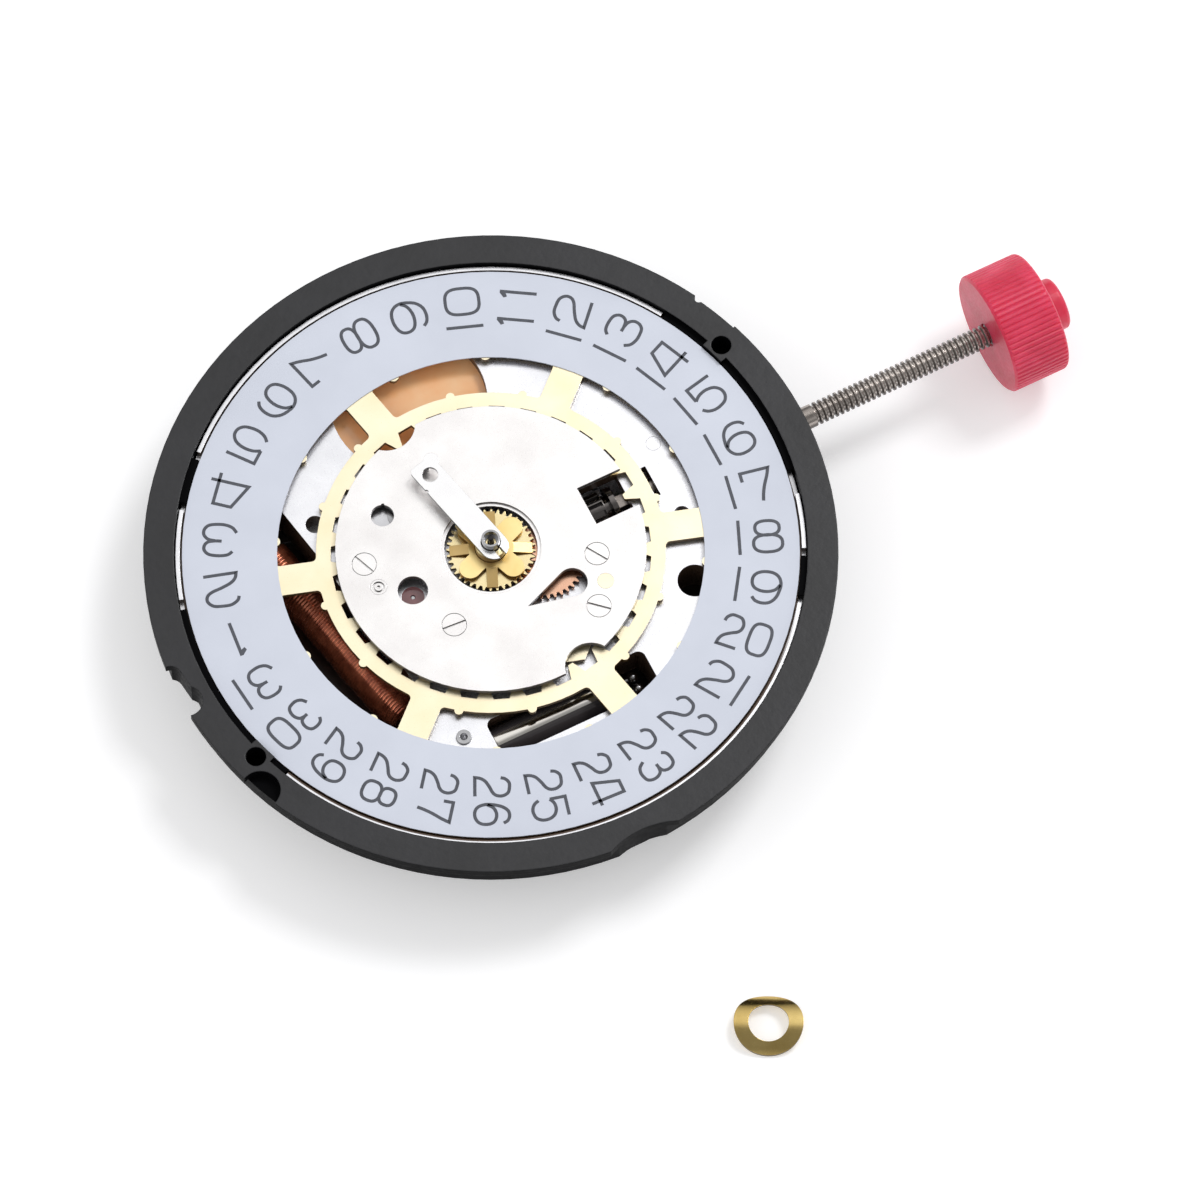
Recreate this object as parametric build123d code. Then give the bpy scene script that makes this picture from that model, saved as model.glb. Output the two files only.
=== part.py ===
from build123d import *
import math
import os

# A quartz watch movement with a date ring.
# Lengths are millimetres and angles are degrees. +Z points to the dial side,
# +X runs along the stem, which is 3 o'clock, and +Y is 12 o'clock.
# The origin is on the movement's axis at its back face.

# Driving dimensions of the whole movement
CASING_D = 25.6
FLANGE_W = 0.2
FLANGE_T = 0.4
RING_WALL = 0.95
RING_FOOT = 2.8
SKIRT_W = 0.2
RING_OVER = 0.55
LEDGE_W = 0.5
LEDGE_H = 0.6

# Clearances that several pieces share
RUN_GAP = 0.05
FIT_GAP = 0.02
PRESS_GAP = 0.005
CUT_OVER = 0.6
SECTOR_STEP_TURN = 40.0

# Stack on the back side, each piece from its own thickness
SCREEN_T = 0.2
SCREEN_EDGE = 0.55
STRAP_T = 0.12
STRAP_W = 1.3
CELL_D = 6.8
CELL_H = 2.6
CELL_CAP_D = 5.2
CELL_CAP_H = 0.25
CONTACT_T = 0.08
CONTACT_W = 1.0
CONTACT_LEG_D = 0.5
CONTACT_REACH = 4.31
CONTACT_ANGLE = 195.5
FILM_T = 0.06
FILM_D = 6.7
BOARD_RISE = 0.25
BOARD_T = 0.2
BRIDGE_RISE = 0.15
BRIDGE_T = 0.3

# Main plate
PLATE_T = 1.85
RIM_T = 0.16
RIM_H = 0.31
TRACK_IN = 0.4
TRACK_W = 0.35
TRACK_H = 0.09
WINDOW_D = 5.96
PILLAR_D = 1.1
PILLAR_STEP_D = 0.8

# Date ring
DATE_TEETH = 31
DATE_PLAY = 0.08
DATE_T = 0.19
PAINT_T = 0.05
PAINT_OVER = 0.1
DRIVE_PLAY = 0.033
TOOTH_H = 0.55
TOOTH_TIP_W = 0.2
TOOTH_ROOT_W = 0.62
TOOTH_ANGLE = -72.1
HUB_W = 0.55
SPOKES = 6
SPOKE_W = 1.2
SPOKE_ANGLE = 42.0
DATE_GAP = 0.02
WINDOW_SHARE = 0.3094
WINDOW_ROUND = 0.18
ROUND_LIMIT_SHARE = 0.25
OUTER_BUMP_R = 0.2
INNER_BUMP_R = 0.17

# Date cover plate and its fasteners
COVER_IN = 0.18
COVER_T = 0.2
COVER_RISE = 0.45
COVER_HOLE_D = 3.76
COVER_STEP_D = 3.5
SCREW_HEAD_D = 0.9
SCREW_HEAD_T = 0.12
SCREW_SHANK_D = 0.4
SCREW_LENGTH = 1.3
SLOT_W = 0.07
SLOT_DEPTH = 0.07
BOSS_D = 0.7
RIVET_D = 0.62
RIVET_GROOVE_SHARE = 0.72
RIVET_DIMPLE_SHARE = 0.2
PIN_HEAD_D = 0.62
JEWEL_WINDOW_D = 1.14
JEWEL_D = 0.86
JEWEL_T = 0.3
BRIDGE_JEWEL_D = 0.6

# Centre stack
SECONDS_TIP_D = 0.2
SECONDS_SHAFT_D = 0.22
ARBOR_BORE_D = 0.26
ARBOR_D = 0.4
CANNON_BORE_D = 0.42
CANNON_D = 0.7
CANNON_MOUTH_D = 0.54
PIPE_BORE_D = 0.76
PIPE_D = 1.2
PIPE_OVER = 0.42
CANNON_OVER = 0.46
ARBOR_OVER = 0.08
SECONDS_OVER = 0.06

# Gears: module and tooth counts
DIAL_MODULE = 0.08
THIRD_MODULE = 0.07
ROTOR_MODULE = 0.075
SECONDS_MODULE = 0.08
HOUR_TEETH = 40
MINUTE_PINION_TEETH = 10
MINUTE_TEETH = 36
CANNON_TEETH = 12
SETTING_TEETH = 22
DATE_STEP_TEETH = 30
DATE_STEP_PINION_TEETH = 15
DATE_DRIVE_TEETH = 40
SECONDS_TEETH = 50
SECONDS_PINION_TEETH = 8
THIRD_TEETH = 60
THIRD_PINION_TEETH = 8
CENTRE_TEETH = 64
STEP_TEETH = 48
STEP_PINION_TEETH = 10
ROTOR_PINION_TEETH = 8
ADDENDUM_SHARE = 0.85
DEDENDUM_SHARE = 1.15
TIP_HALF_SHARE = 0.1
ROOT_HALF_SHARE = 0.31

# Directions of the wheels, each from the wheel that it meshes with
MINUTE_ANGLE = -36.0
SETTING_ANGLE = 57.9
DATE_STEP_ANGLE = 94.3
DATE_DRIVE_ANGLE = 177.9
THIRD_ANGLE = -75.0
STEP_ANGLE = 146.2
ROTOR_ANGLE = 228.8

# Levels of the dial-side wheels above the main plate, and their thickness
WHEEL_T = 0.15
LOW_LEVEL = 0.07
HIGH_LEVEL = 0.29
STUD_D = 0.3
STUD_SEAT = 0.4
STEP_STUD_D = 0.2
STEP_HUB_D = 0.32
STEP_PINION_DROP = 0.02
MINUTE_POST_D = 0.7

# Levels of the going train, measured up from the bridge's top
TRAIN_T = 0.12
SECONDS_LEVEL = 0.1
THIRD_LEVEL = 0.38
CENTRE_LEVEL = 0.64
STEP_LEVEL = 0.82
TRAIN_ARBOR_D = 0.24
PIVOT_D = 0.14
PIVOT_LENGTH = 0.4
TRAIN_PINION_T = 0.34
STEP_PINION_T = 0.18
ROTOR_PINION_T = 0.25

# Star friction spring
STAR_OD = 3.1
STAR_HUB_D = 1.7
STAR_T = 0.06
STAR_RISE = 0.16
STAR_BORE_PLAY = 0.02
STAR_ARMS = 4
STAR_ANGLE = 201.0
STAR_WIDE_W = 0.82
STAR_NARROW_W = 0.42
STAR_BEND_SHARE = 0.92

# Hour wheel clip
CLIP_W = 1.08
CLIP_T = 0.1
CLIP_RISE = 0.44
CLIP_END = 4.17
CLIP_OVER = 0.75
CLIP_ANGLE = 103.0
CLIP_HOLE_D = 0.76
CLIP_SLOT_W = 0.28
CLIP_EYE_D = 0.6
CLIP_EYE_IN = 0.594
CLIP_CORNER_D = 0.36
CLIP_LOBE_D = 0.6
CLIP_LOBE_IN = 0.16
CLIP_LOBE_EDGE = 0.13
CLIP_FOOT_W = 0.5
CLIP_FOOT_T = 0.12
CLIP_FOOT_IN = 0.15
CLIP_NOTCH_D = 0.14
CLIP_NOTCH_IN = 1.05

# Motor
ROTOR_D = 1.3
ROTOR_T = 0.45
STATOR_BORE_D = 1.6
STATOR_HUB_D = 2.3
STATOR_T = 0.4
STATOR_LEVEL = 0.15
STATOR_LOBE_D = 1.7
STATOR_ARM_W = 0.9
COIL_D = 1.8
CORE_W = 0.8
CORE_T = 0.4
CORE_OVER = 1.1
CORE_END_D = 1.4

# Quartz crystal
CAN_D = 1.5
CAN_LENGTH = 5.0
CAN_ROUND = 0.2
CAN_DEPTH = 1.2
LEAD_D = 0.2
LEAD_REACH = 1.0
LEAD_BALL_D = 0.46
LEAD_SPREAD = 0.5

# Chip on the board
CHIP_SIDE = 1.9
CHIP_T = 0.45

# Keyless works
STEM_DEPTH = 0.775
STEM_D = 0.9
STEM_HOLE_D = 1.0
RING_STEM_HOLE_D = 1.1
STEM_START = 3.3
SQUARE_SIDE = 0.5
SQUARE_END = 6.5
GROOVE_START = 6.8
GROOVE_W = 0.4
GROOVE_D = 0.3
THREAD_START = 13.6
THREAD_END = 21.6
THREAD_PITCH = 0.225
THREAD_DEPTH = 0.11
THREAD_FLANK_SHARE = 0.2
PINION_START = 4.0
PINION_LENGTH = 1.2
PINION_D = 1.6
PINION_TEETH = 14
PINION_TOOTH_DEPTH = 0.2
PINION_GROOVE_W = 0.26
PINION_GROOVE_D = 1.0
PINION_GROOVE_AT = 0.72
YOKE_TRAVEL = 0.4
LEVER_T = 0.22
LEVER_PIVOT = (7.5, 1.35)
LEVER_NOSE = (7.0, 0.42)
LEVER_W = 0.2
LEVER_HUB_D = 0.5
LEVER_HUB_H = 0.9
LEVER_TOE_REACH = 0.5
LEVER_PIN_HEAD_D = 0.56
LEVER_PIN_HEAD_T = 0.2
PIVOT_PIN_D = 0.3
YOKE_W = 0.5
YOKE_AT = 1.85
YOKE_END = 7.29
YOKE_START = 4.62
YOKE_TIP_W = 0.18
YOKE_TIP_REACH = 0.56
GUIDE_D = 0.22
GUIDE_START = 5.45
GUIDE_SPACING = 1.05
GUIDE_SEAT = 0.3
KEY_ROOM = 0.225
KEY_POCKET = (4.1, 9.0)
KEY_POCKET_SIDES = (-1.0, 2.3)
DETENT_T = 0.15
DETENT_W = 0.14
DETENT_DROP = 0.625
DETENT_PAD_D = 0.8
DETENT_PIN_D = 0.3
DETENT_PIN_H = 0.4
DETENT_FOOT_AT = (8.5, -1.35)
DETENT_PLAY = 0.12
RELEASE_AT = 6.7
RELEASE_W = 0.2
RELEASE_LENGTH = 1.3

# Crown
CROWN_D = 4.78
CROWN_START = 21.03
CROWN_LENGTH = 2.32
CROWN_BOSS_D = 2.06
CROWN_BOSS_LENGTH = 0.78
CROWN_FLUTES = 66
CROWN_FLUTE_DEPTH = 0.055
CROWN_ROUND = 0.18
FLUTE_LAND_SHARE = 0.45
CROWN_CHAMFER = 0.1

# Date jumper
JUMPER_T = 0.14
JUMPER_W = 0.26
JUMPER_HUB_D = 0.62
JUMPER_ELBOW = (1.95, -3.45)
JUMPER_ANGLE = -77.9
JUMPER_NOSE_OVER = 0.15
JUMPER_FLANK_IN = 0.15
JUMPER_BACK_IN = 0.7
JUMPER_FLANK_TURN = 6.5
JUMPER_BACK_TURN = 4.5

# Date driving finger and date corrector
FINGER_T = 0.04
FINGER_OVER = 0.27
FINGER_W = 0.5
FINGER_TIP_W = 0.15
FINGER_HUB_D = 0.9
CORRECTOR_R = 0.78
CORRECTOR_HUB_R = 0.32
CORRECTOR_T = 0.12
CORRECTOR_FINGERS = 4
CORRECTOR_TIP_TURN = 3.0
CORRECTOR_IN = 0.65
CORRECTOR_ANGLE = 26.6

# Loose washer
WASHER_OD = 2.6
WASHER_ID = 1.5
WASHER_T = 0.08
WASHER_BEND_R = 1.65
WASHER_POINTS = 72
WASHER_AT = (1.32, -20.3)
WASHER_TURN = -27.4

# Holes for the feet of a dial
FOOT_HOLE_D = 0.76
FOOT_IN = 0.72
FOOT_ANGLE = 17.4
FOOT_DEPTH = 1.1
FOOT_LUG_HALF = 6.0
LUG_TOP_HALF = 2.4
LUG_PLAY = 0.3
LUG_GAP = 0.04

# Notches, recesses and scoops in the holder ring
NOTCH_ANGLE = 182.0
NOTCH_REACH_SHARE = 0.989
NOTCH_D = 1.2
NOTCH_STEP_TURN = 5.0
NOTCH_STEP_W = 0.9
RECESS_ANGLE = 202.2
RECESS_REACH_SHARE = 0.994
RECESS_D = 1.5
RECESS_DEPTH = 0.45
SCOOP_ANGLE = 269.6
SCOOP_REACH_SHARE = 1.2295
SCOOP_D = 6.73
SIDE_CUT_W = 0.08
SIDE_CUT_ANGLES = (18.3, 26.2)
SIDE_NICK_D = 0.36

# Places on the cover, as shares of its radius
SCREW_SHARES = ((-0.778, 0.262), (-0.45, -0.376), (0.59, -0.343), (0.437, -0.674))
SCREW_SLOT_ANGLES = (-68.7, -4.0, -59.0, -42.6)
RIVET_SHARE = (-0.766, 0.077)
JUMPER_PIN_SHARE = (0.554, -0.538)
NICK_HOLE_SHARE = (-0.523, 0.515)
NICK_HOLE_R_SHARE = 0.075
NICK_SHARE = 0.3
NICK_ANGLE = 62.0
LOWER_BITE_SHARE = (0.201, -1.031)
LOWER_BITE_R_SHARE = 0.168
UPPER_BITE_SHARE = (-0.215, 1.082)
UPPER_BITE_R_SHARE = 0.186
DROP_TIP_SHARE = (0.03, -0.473)
DROP_ROUND_SHARE = (0.36, -0.45)
DROP_ROUND_R_SHARE = 0.098
KEY_WINDOW_SHARES = ((0.682, 0.125), (1.1, 0.125), (1.1, -0.155), (0.682, -0.155))

# Places on the main plate, as shares of its radius
RING_BORE_D = CASING_D - 2 * RING_WALL
PLATE_D = RING_BORE_D - 2 * RUN_GAP
PLATE_R = PLATE_D / 2
CELL_SHARE = (0.0042, 0.5975)
COIL_UPPER_SHARE = (-0.6186, 0.3729)
COIL_LOWER_SHARE = (-0.4619, -0.3305)
CAN_SHARE = (-0.0678, -0.5636)
CHIP_SHARE = (0.3898, -0.5593)
PLATE_WINDOW_ROUND = 0.3
COIL_WINDOW_SHARES = (
    (-0.531, 0.449), (-0.495, 0.252), (-0.46, 0.0), (-0.4, -0.36),
    (-0.475, -0.45), (-0.6, -0.43), (-0.755, 0.3), (-0.68, 0.47),
)
CRYSTAL_WINDOW_SHARES = ((-0.275, -0.505), (0.28, -0.505), (0.28, -0.645), (-0.275, -0.645))
ROUND_HOLE_SHARE = (0.537, -0.37)
ROUND_HOLE_R_SHARE = 0.055
MOON_HOLE_SHARE = (-0.453, 0.345)
MOON_HOLE_R_SHARE = 0.03
MOON_HOLE_DEPTH = 0.9
SMALL_HOLE_SHARE = (0.607, -0.145)
SMALL_HOLE_R_SHARE = 0.026
TUBE_PIN_SHARE = (-0.357, -0.524)
TUBE_PIN_R_SHARE = 0.024
BRIDGE_PILLAR_SHARES = ((0.246, 0.093), (-0.195, -0.28), (-0.305, 0.263), (0.288, -0.356))
BRIDGE_SHARES = (
    (-0.4, 0.16), (-0.36, 0.32), (-0.25, 0.31), (-0.12, 0.22), (0.1, 0.23), (0.3, 0.14),
    (0.34, -0.1), (0.34, -0.4), (0.22, -0.45), (-0.1, -0.44), (-0.25, -0.33), (-0.4, -0.12),
)
SCREEN_PILLAR_ANGLES = (28.0, 150.0, 232.0, 318.0)
SCREEN_PILLAR_R_SHARE = 0.89
STATOR_UPPER_SHARES = ((-0.415, 0.22), (-0.47, 0.415))
STATOR_LOWER_SHARES = ((-0.305, -0.33),)
BOARD_ANGLES = (118.0, 350.0)
STRAP_REACH_SHARE = 0.405
BOARD_OUTER_SHARE = 0.955
BOARD_INNER_SHARE = 0.5
RIM_ARCS = ((30.0, 133.0), (145.0, 163.0), (203.0, 323.0), (334.0, 345.0))
CLAW_ARCS = ((22.0, 29.5), (134.5, 143.5), (165.0, 193.0), (324.5, 332.5), (350.0, 373.0))

BUMP_STARTS_OUTER = (5.0, 30.5)
BUMP_STARTS_INNER = (17.0, 53.0)

# Sizes that follow from the ones above
FLANGE_D = CASING_D + 2 * FLANGE_W
DATE_OD = PLATE_D - 2 * RIM_T - 2 * DATE_PLAY
LUG_BORE_D = DATE_OD + 2 * LUG_GAP
TRACK_D = PLATE_D - 2 * TRACK_IN
FOOT_PCD = CASING_D - 2 * FOOT_IN
SCREEN_D = RING_BORE_D - 2 * SCREEN_EDGE
MINUTE_MODULE = DIAL_MODULE * (HOUR_TEETH + MINUTE_PINION_TEETH) / (MINUTE_TEETH + CANNON_TEETH)
CENTRE_MODULE = (
    THIRD_MODULE * (SECONDS_PINION_TEETH + THIRD_TEETH) / (CENTRE_TEETH + THIRD_PINION_TEETH)
)
CORE_BORE_W = CORE_W + 2 * FIT_GAP
SHANK_HOLE_D = SCREW_SHANK_D + 2 * FIT_GAP

# Levels, from the back up
STRAP_FOOT = SCREEN_T
CELL_FOOT = STRAP_FOOT + STRAP_T + FIT_GAP
CELL_TOP = CELL_FOOT + CELL_H
CONTACT_FOOT = CELL_TOP + FIT_GAP
FILM_FOOT = CONTACT_FOOT + CONTACT_T
FILM_TOP = FILM_FOOT + FILM_T
BOARD_FOOT = SCREEN_T + BOARD_RISE
BOARD_TOP = BOARD_FOOT + BOARD_T
BRIDGE_FOOT = BOARD_TOP + BRIDGE_RISE
BRIDGE_TOP = BRIDGE_FOOT + BRIDGE_T
STATOR_FOOT = BRIDGE_TOP + STATOR_LEVEL
STATOR_TOP = STATOR_FOOT + STATOR_T
COIL_LEVEL = STATOR_TOP + CORE_T / 2
PLATE_FOOT = STATOR_TOP + RUN_GAP
PLATE_TOP = PLATE_FOOT + PLATE_T
TRAIN_POCKET_TOP = BRIDGE_TOP + STEP_LEVEL + TRAIN_T + 4 * RUN_GAP
RING_HEIGHT = PLATE_TOP + RING_OVER
COVER_FOOT = PLATE_TOP + COVER_RISE
COVER_TOP = COVER_FOOT + COVER_T
DATE_FOOT = PLATE_TOP + TRACK_H + DATE_GAP
DATE_TOP = DATE_FOOT + DATE_T
LOW_FOOT = PLATE_TOP + LOW_LEVEL
LOW_TOP = LOW_FOOT + WHEEL_T
HIGH_FOOT = PLATE_TOP + HIGH_LEVEL
HIGH_TOP = HIGH_FOOT + WHEEL_T
STUD_TOP = COVER_FOOT - FIT_GAP
PIPE_TOP = COVER_TOP + PIPE_OVER
CANNON_TOP = PIPE_TOP + CANNON_OVER
ARBOR_TOP = PIPE_TOP + ARBOR_OVER
SECONDS_TOP = CANNON_TOP + SECONDS_OVER
STEM_LEVEL = PLATE_TOP - STEM_DEPTH
CAN_LEVEL = PLATE_TOP - CAN_DEPTH
LEVER_FOOT = STEM_LEVEL - LEVER_T / 2
LEVER_TOP = STEM_LEVEL + LEVER_T / 2
KEY_POCKET_TOP = STEM_LEVEL + KEY_ROOM
DETENT_TOP = STEM_LEVEL - DETENT_DROP


def polar(radius, angle, centre=(0, 0)):
    turn = math.radians(angle)
    return (centre[0] + radius * math.cos(turn), centre[1] + radius * math.sin(turn))


def share_of(size, shares):
    return (size * shares[0], size * shares[1])


def rod(diameter, low, high, at=(0, 0)):
    """A round bar along Z between two levels."""
    return Pos(at[0], at[1], (low + high) / 2) * Cylinder(diameter / 2, high - low)


def tube(outer, inner, low, high, at=(0, 0)):
    return rod(outer, low, high, at) - rod(inner, low - CUT_OVER, high + CUT_OVER, at)


def slab(points, low, high):
    """A flat plate between two levels, with its outline through the points."""
    face = make_face(Polyline(*points, close=True))
    return Pos(0, 0, low) * extrude(face, amount=high - low, dir=(0, 0, 1))


def window(points, low, high, corner_r):
    """An opening's solid with its corners rounded."""
    body = slab(points, low, high)
    return fillet(body.edges().filter_by(Axis.Z), corner_r)


def bar(start, end, width, low, high):
    """A flat straight bar with round ends."""
    length = math.dist(start, end)
    turn = math.degrees(math.atan2(end[1] - start[1], end[0] - start[0]))
    middle = ((start[0] + end[0]) / 2, (start[1] + end[1]) / 2, (low + high) / 2)
    body = Pos(*middle) * Rot(0, 0, turn) * Box(length, width, high - low)
    return body + rod(width, low, high, start) + rod(width, low, high, end)


def sector(outer, inner, first, last, low, high):
    """A ring's stretch between two angles, cut out by a fan that reaches past the ring."""
    count = max(2, math.ceil((last - first) / SECTOR_STEP_TURN))
    fan = [(0, 0)] + [polar(outer, first + (last - first) * n / count) for n in range(count + 1)]
    return tube(outer, inner, low, high) & slab(fan, low - CUT_OVER, high + CUT_OVER)


def along_x(profile):
    """A solid turned about the stem's axis from (x, radius) points."""
    outline = [(x, 0, STEM_LEVEL + radius) for x, radius in profile]
    face = make_face(Polyline(*outline, close=True))
    return revolve(face, Axis((0, 0, STEM_LEVEL), (1, 0, 0)), 360)


def toothed(teeth, module, phase, low, high, at):
    """A toothed disc: straight flanks and flat tips."""
    tip = module * (teeth / 2 + ADDENDUM_SHARE)
    root = module * (teeth / 2 - DEDENDUM_SHARE)
    points = []
    for n in range(teeth):
        middle = phase + 360 * n / teeth
        for radius, side in (
            (root, -ROOT_HALF_SHARE), (tip, -TIP_HALF_SHARE),
            (tip, TIP_HALF_SHARE), (root, ROOT_HALF_SHARE),
        ):
            points.append(polar(radius, middle + side * 360 / teeth, at))
    return slab(points, low, high)


def meshed(phase, teeth, at, other_teeth, other_at):
    """The other wheel's phase that puts its gap over this wheel's tooth."""
    line = math.degrees(math.atan2(other_at[1] - at[1], other_at[0] - at[0]))
    part = ((line - phase) * teeth / 360) % 1
    return line + 180 + 360 / other_teeth * (part + 1 / 2)


# Places of the wheels, each from the wheel that it meshes with
CENTRE = (0, 0)
MINUTE_AT = polar(DIAL_MODULE * (HOUR_TEETH + MINUTE_PINION_TEETH) / 2, MINUTE_ANGLE)
SETTING_AT = polar(MINUTE_MODULE * (MINUTE_TEETH + SETTING_TEETH) / 2, SETTING_ANGLE, MINUTE_AT)
DATE_STEP_AT = polar(DIAL_MODULE * (HOUR_TEETH + DATE_STEP_TEETH) / 2, DATE_STEP_ANGLE)
DATE_DRIVE_AT = polar(
    DIAL_MODULE * (DATE_STEP_PINION_TEETH + DATE_DRIVE_TEETH) / 2, DATE_DRIVE_ANGLE, DATE_STEP_AT
)
THIRD_AT = polar(THIRD_MODULE * (SECONDS_PINION_TEETH + THIRD_TEETH) / 2, THIRD_ANGLE)
STEP_AT = polar(SECONDS_MODULE * (SECONDS_TEETH + STEP_PINION_TEETH) / 2, STEP_ANGLE)
ROTOR_AT = polar(ROTOR_MODULE * (ROTOR_PINION_TEETH + STEP_TEETH) / 2, ROTOR_ANGLE, STEP_AT)

# Sizes of the date ring and its cover, from the date driving wheel's reach outwards
DRIVE_REACH = math.dist(CENTRE, DATE_DRIVE_AT) + DIAL_MODULE * (DATE_DRIVE_TEETH / 2 + ADDENDUM_SHARE)
TOOTH_TIP_D = 2 * (DRIVE_REACH + DRIVE_PLAY)
TOOTH_ROOT_D = TOOTH_TIP_D + 2 * TOOTH_H
HUB_OD = TOOTH_ROOT_D + 2 * HUB_W
WINDOW_OD = HUB_OD + (DATE_OD - HUB_OD) * WINDOW_SHARE
PAINT_BORE_D = WINDOW_OD - 2 * PAINT_OVER
COVER_D = TOOTH_ROOT_D - 2 * COVER_IN
COVER_R = COVER_D / 2
JUMPER_NOSE_R = TOOTH_TIP_D / 2 + JUMPER_NOSE_OVER
JUMPER_FLANK_R = TOOTH_TIP_D / 2 - JUMPER_FLANK_IN
JUMPER_BACK_R = TOOTH_TIP_D / 2 - JUMPER_BACK_IN
FINGER_REACH = TOOTH_TIP_D / 2 + FINGER_OVER
CORRECTOR_REACH = TOOTH_TIP_D / 2 - CORRECTOR_IN

# Phases that put a gap of one wheel over a tooth of the other
MINUTE_PINION_PHASE = meshed(0, HOUR_TEETH, CENTRE, MINUTE_PINION_TEETH, MINUTE_AT)
CANNON_PHASE = meshed(0, MINUTE_TEETH, MINUTE_AT, CANNON_TEETH, CENTRE)
SETTING_PHASE = meshed(0, MINUTE_TEETH, MINUTE_AT, SETTING_TEETH, SETTING_AT)
DATE_STEP_PHASE = meshed(0, HOUR_TEETH, CENTRE, DATE_STEP_TEETH, DATE_STEP_AT)
DATE_DRIVE_PHASE = meshed(0, DATE_STEP_PINION_TEETH, DATE_STEP_AT, DATE_DRIVE_TEETH, DATE_DRIVE_AT)
STEP_PINION_PHASE = meshed(0, SECONDS_TEETH, CENTRE, STEP_PINION_TEETH, STEP_AT)
ROTOR_PHASE = meshed(0, STEP_TEETH, STEP_AT, ROTOR_PINION_TEETH, ROTOR_AT)
THIRD_PHASE = meshed(0, SECONDS_PINION_TEETH, CENTRE, THIRD_TEETH, THIRD_AT)
CENTRE_PHASE = meshed(0, THIRD_PINION_TEETH, THIRD_AT, CENTRE_TEETH, CENTRE)

# Places on the main plate
CELL_AT = share_of(PLATE_R, CELL_SHARE)
COIL_UPPER = share_of(PLATE_R, COIL_UPPER_SHARE)
COIL_LOWER = share_of(PLATE_R, COIL_LOWER_SHARE)
CAN_AT = share_of(PLATE_R, CAN_SHARE)
CHIP_AT = share_of(PLATE_R, CHIP_SHARE)

# Places of fasteners and small features
SCREW_PLACES = [share_of(COVER_R, shares) for shares in SCREW_SHARES]
RIVET_AT = share_of(COVER_R, RIVET_SHARE)
JUMPER_PIN_AT = share_of(COVER_R, JUMPER_PIN_SHARE)
BRIDGE_PLACES = [share_of(PLATE_R, shares) for shares in BRIDGE_PILLAR_SHARES]
SCREEN_PLACES = [polar(PLATE_R * SCREEN_PILLAR_R_SHARE, angle) for angle in SCREEN_PILLAR_ANGLES]
STRAP_PLACES = [(CELL_AT[0] + side * PLATE_R * STRAP_REACH_SHARE, CELL_AT[1]) for side in (-1, 1)]
FOOT_PLACES = [polar(FOOT_PCD / 2, FOOT_ANGLE + turn) for turn in (0, 180)]
CORRECTOR_AT = polar(CORRECTOR_REACH, CORRECTOR_ANGLE)
CONTACT_END = polar(CONTACT_REACH, CONTACT_ANGLE, CELL_AT)
TUBE_PIN_AT = share_of(PLATE_R, TUBE_PIN_SHARE)
TUBE_PIN_D = 2 * PLATE_R * TUBE_PIN_R_SHARE
GUIDE_PLACES = [(GUIDE_START + n * GUIDE_SPACING, YOKE_AT) for n in range(2)]
# The dial-side wheels' studs: place and diameter
STUDS = (
    (MINUTE_AT, STUD_D), (SETTING_AT, STUD_D), (DATE_STEP_AT, STEP_STUD_D),
    (DATE_DRIVE_AT, STUD_D), (CORRECTOR_AT, STUD_D),
)

# The coil's line, from its upper end to its lower one
COIL_RUN = math.dist(COIL_UPPER, COIL_LOWER)
COIL_TURN = math.degrees(
    math.atan2(COIL_LOWER[1] - COIL_UPPER[1], COIL_LOWER[0] - COIL_UPPER[0])
)
CORE_ENDS = (polar(-CORE_OVER, COIL_TURN, COIL_UPPER), polar(CORE_OVER, COIL_TURN, COIL_LOWER))
COIL_MIDDLE = ((COIL_UPPER[0] + COIL_LOWER[0]) / 2, (COIL_UPPER[1] + COIL_LOWER[1]) / 2)

parts = {}


def group(solids):
    return Compound(children=list(solids))


def x_rod(diameter, start, end):
    """A round bar on the stem's axis."""
    return Pos((start + end) / 2, 0, STEM_LEVEL) * Rot(0, 90, 0) * Cylinder(diameter / 2, end - start)


def block(start, end, sides, low, high):
    """A box from its reach along X, its sides along Y and its levels."""
    middle = ((start + end) / 2, (sides[0] + sides[1]) / 2, (low + high) / 2)
    return Pos(*middle) * Box(end - start, sides[1] - sides[0], high - low)


def coil_box(length, width, low, high):
    return Pos(*COIL_MIDDLE, (low + high) / 2) * Rot(0, 0, COIL_TURN) * Box(length, width, high - low)


def screw(at, head_top, down, slot_angle, head_d=SCREW_HEAD_D):
    """A slotted screw whose head ends at head_top; down is 1 where it is driven from the dial side."""
    head_foot = head_top - down * SCREW_HEAD_T
    tip = head_foot - down * SCREW_LENGTH
    body = rod(head_d, min(head_top, head_foot), max(head_top, head_foot), at)
    body += rod(SCREW_SHANK_D, min(head_foot, tip), max(head_foot, tip), at)
    slot = Box(head_d + CUT_OVER, SLOT_W, 2 * SLOT_DEPTH)
    return body - Pos(at[0], at[1], head_top) * Rot(0, 0, slot_angle) * slot


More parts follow.
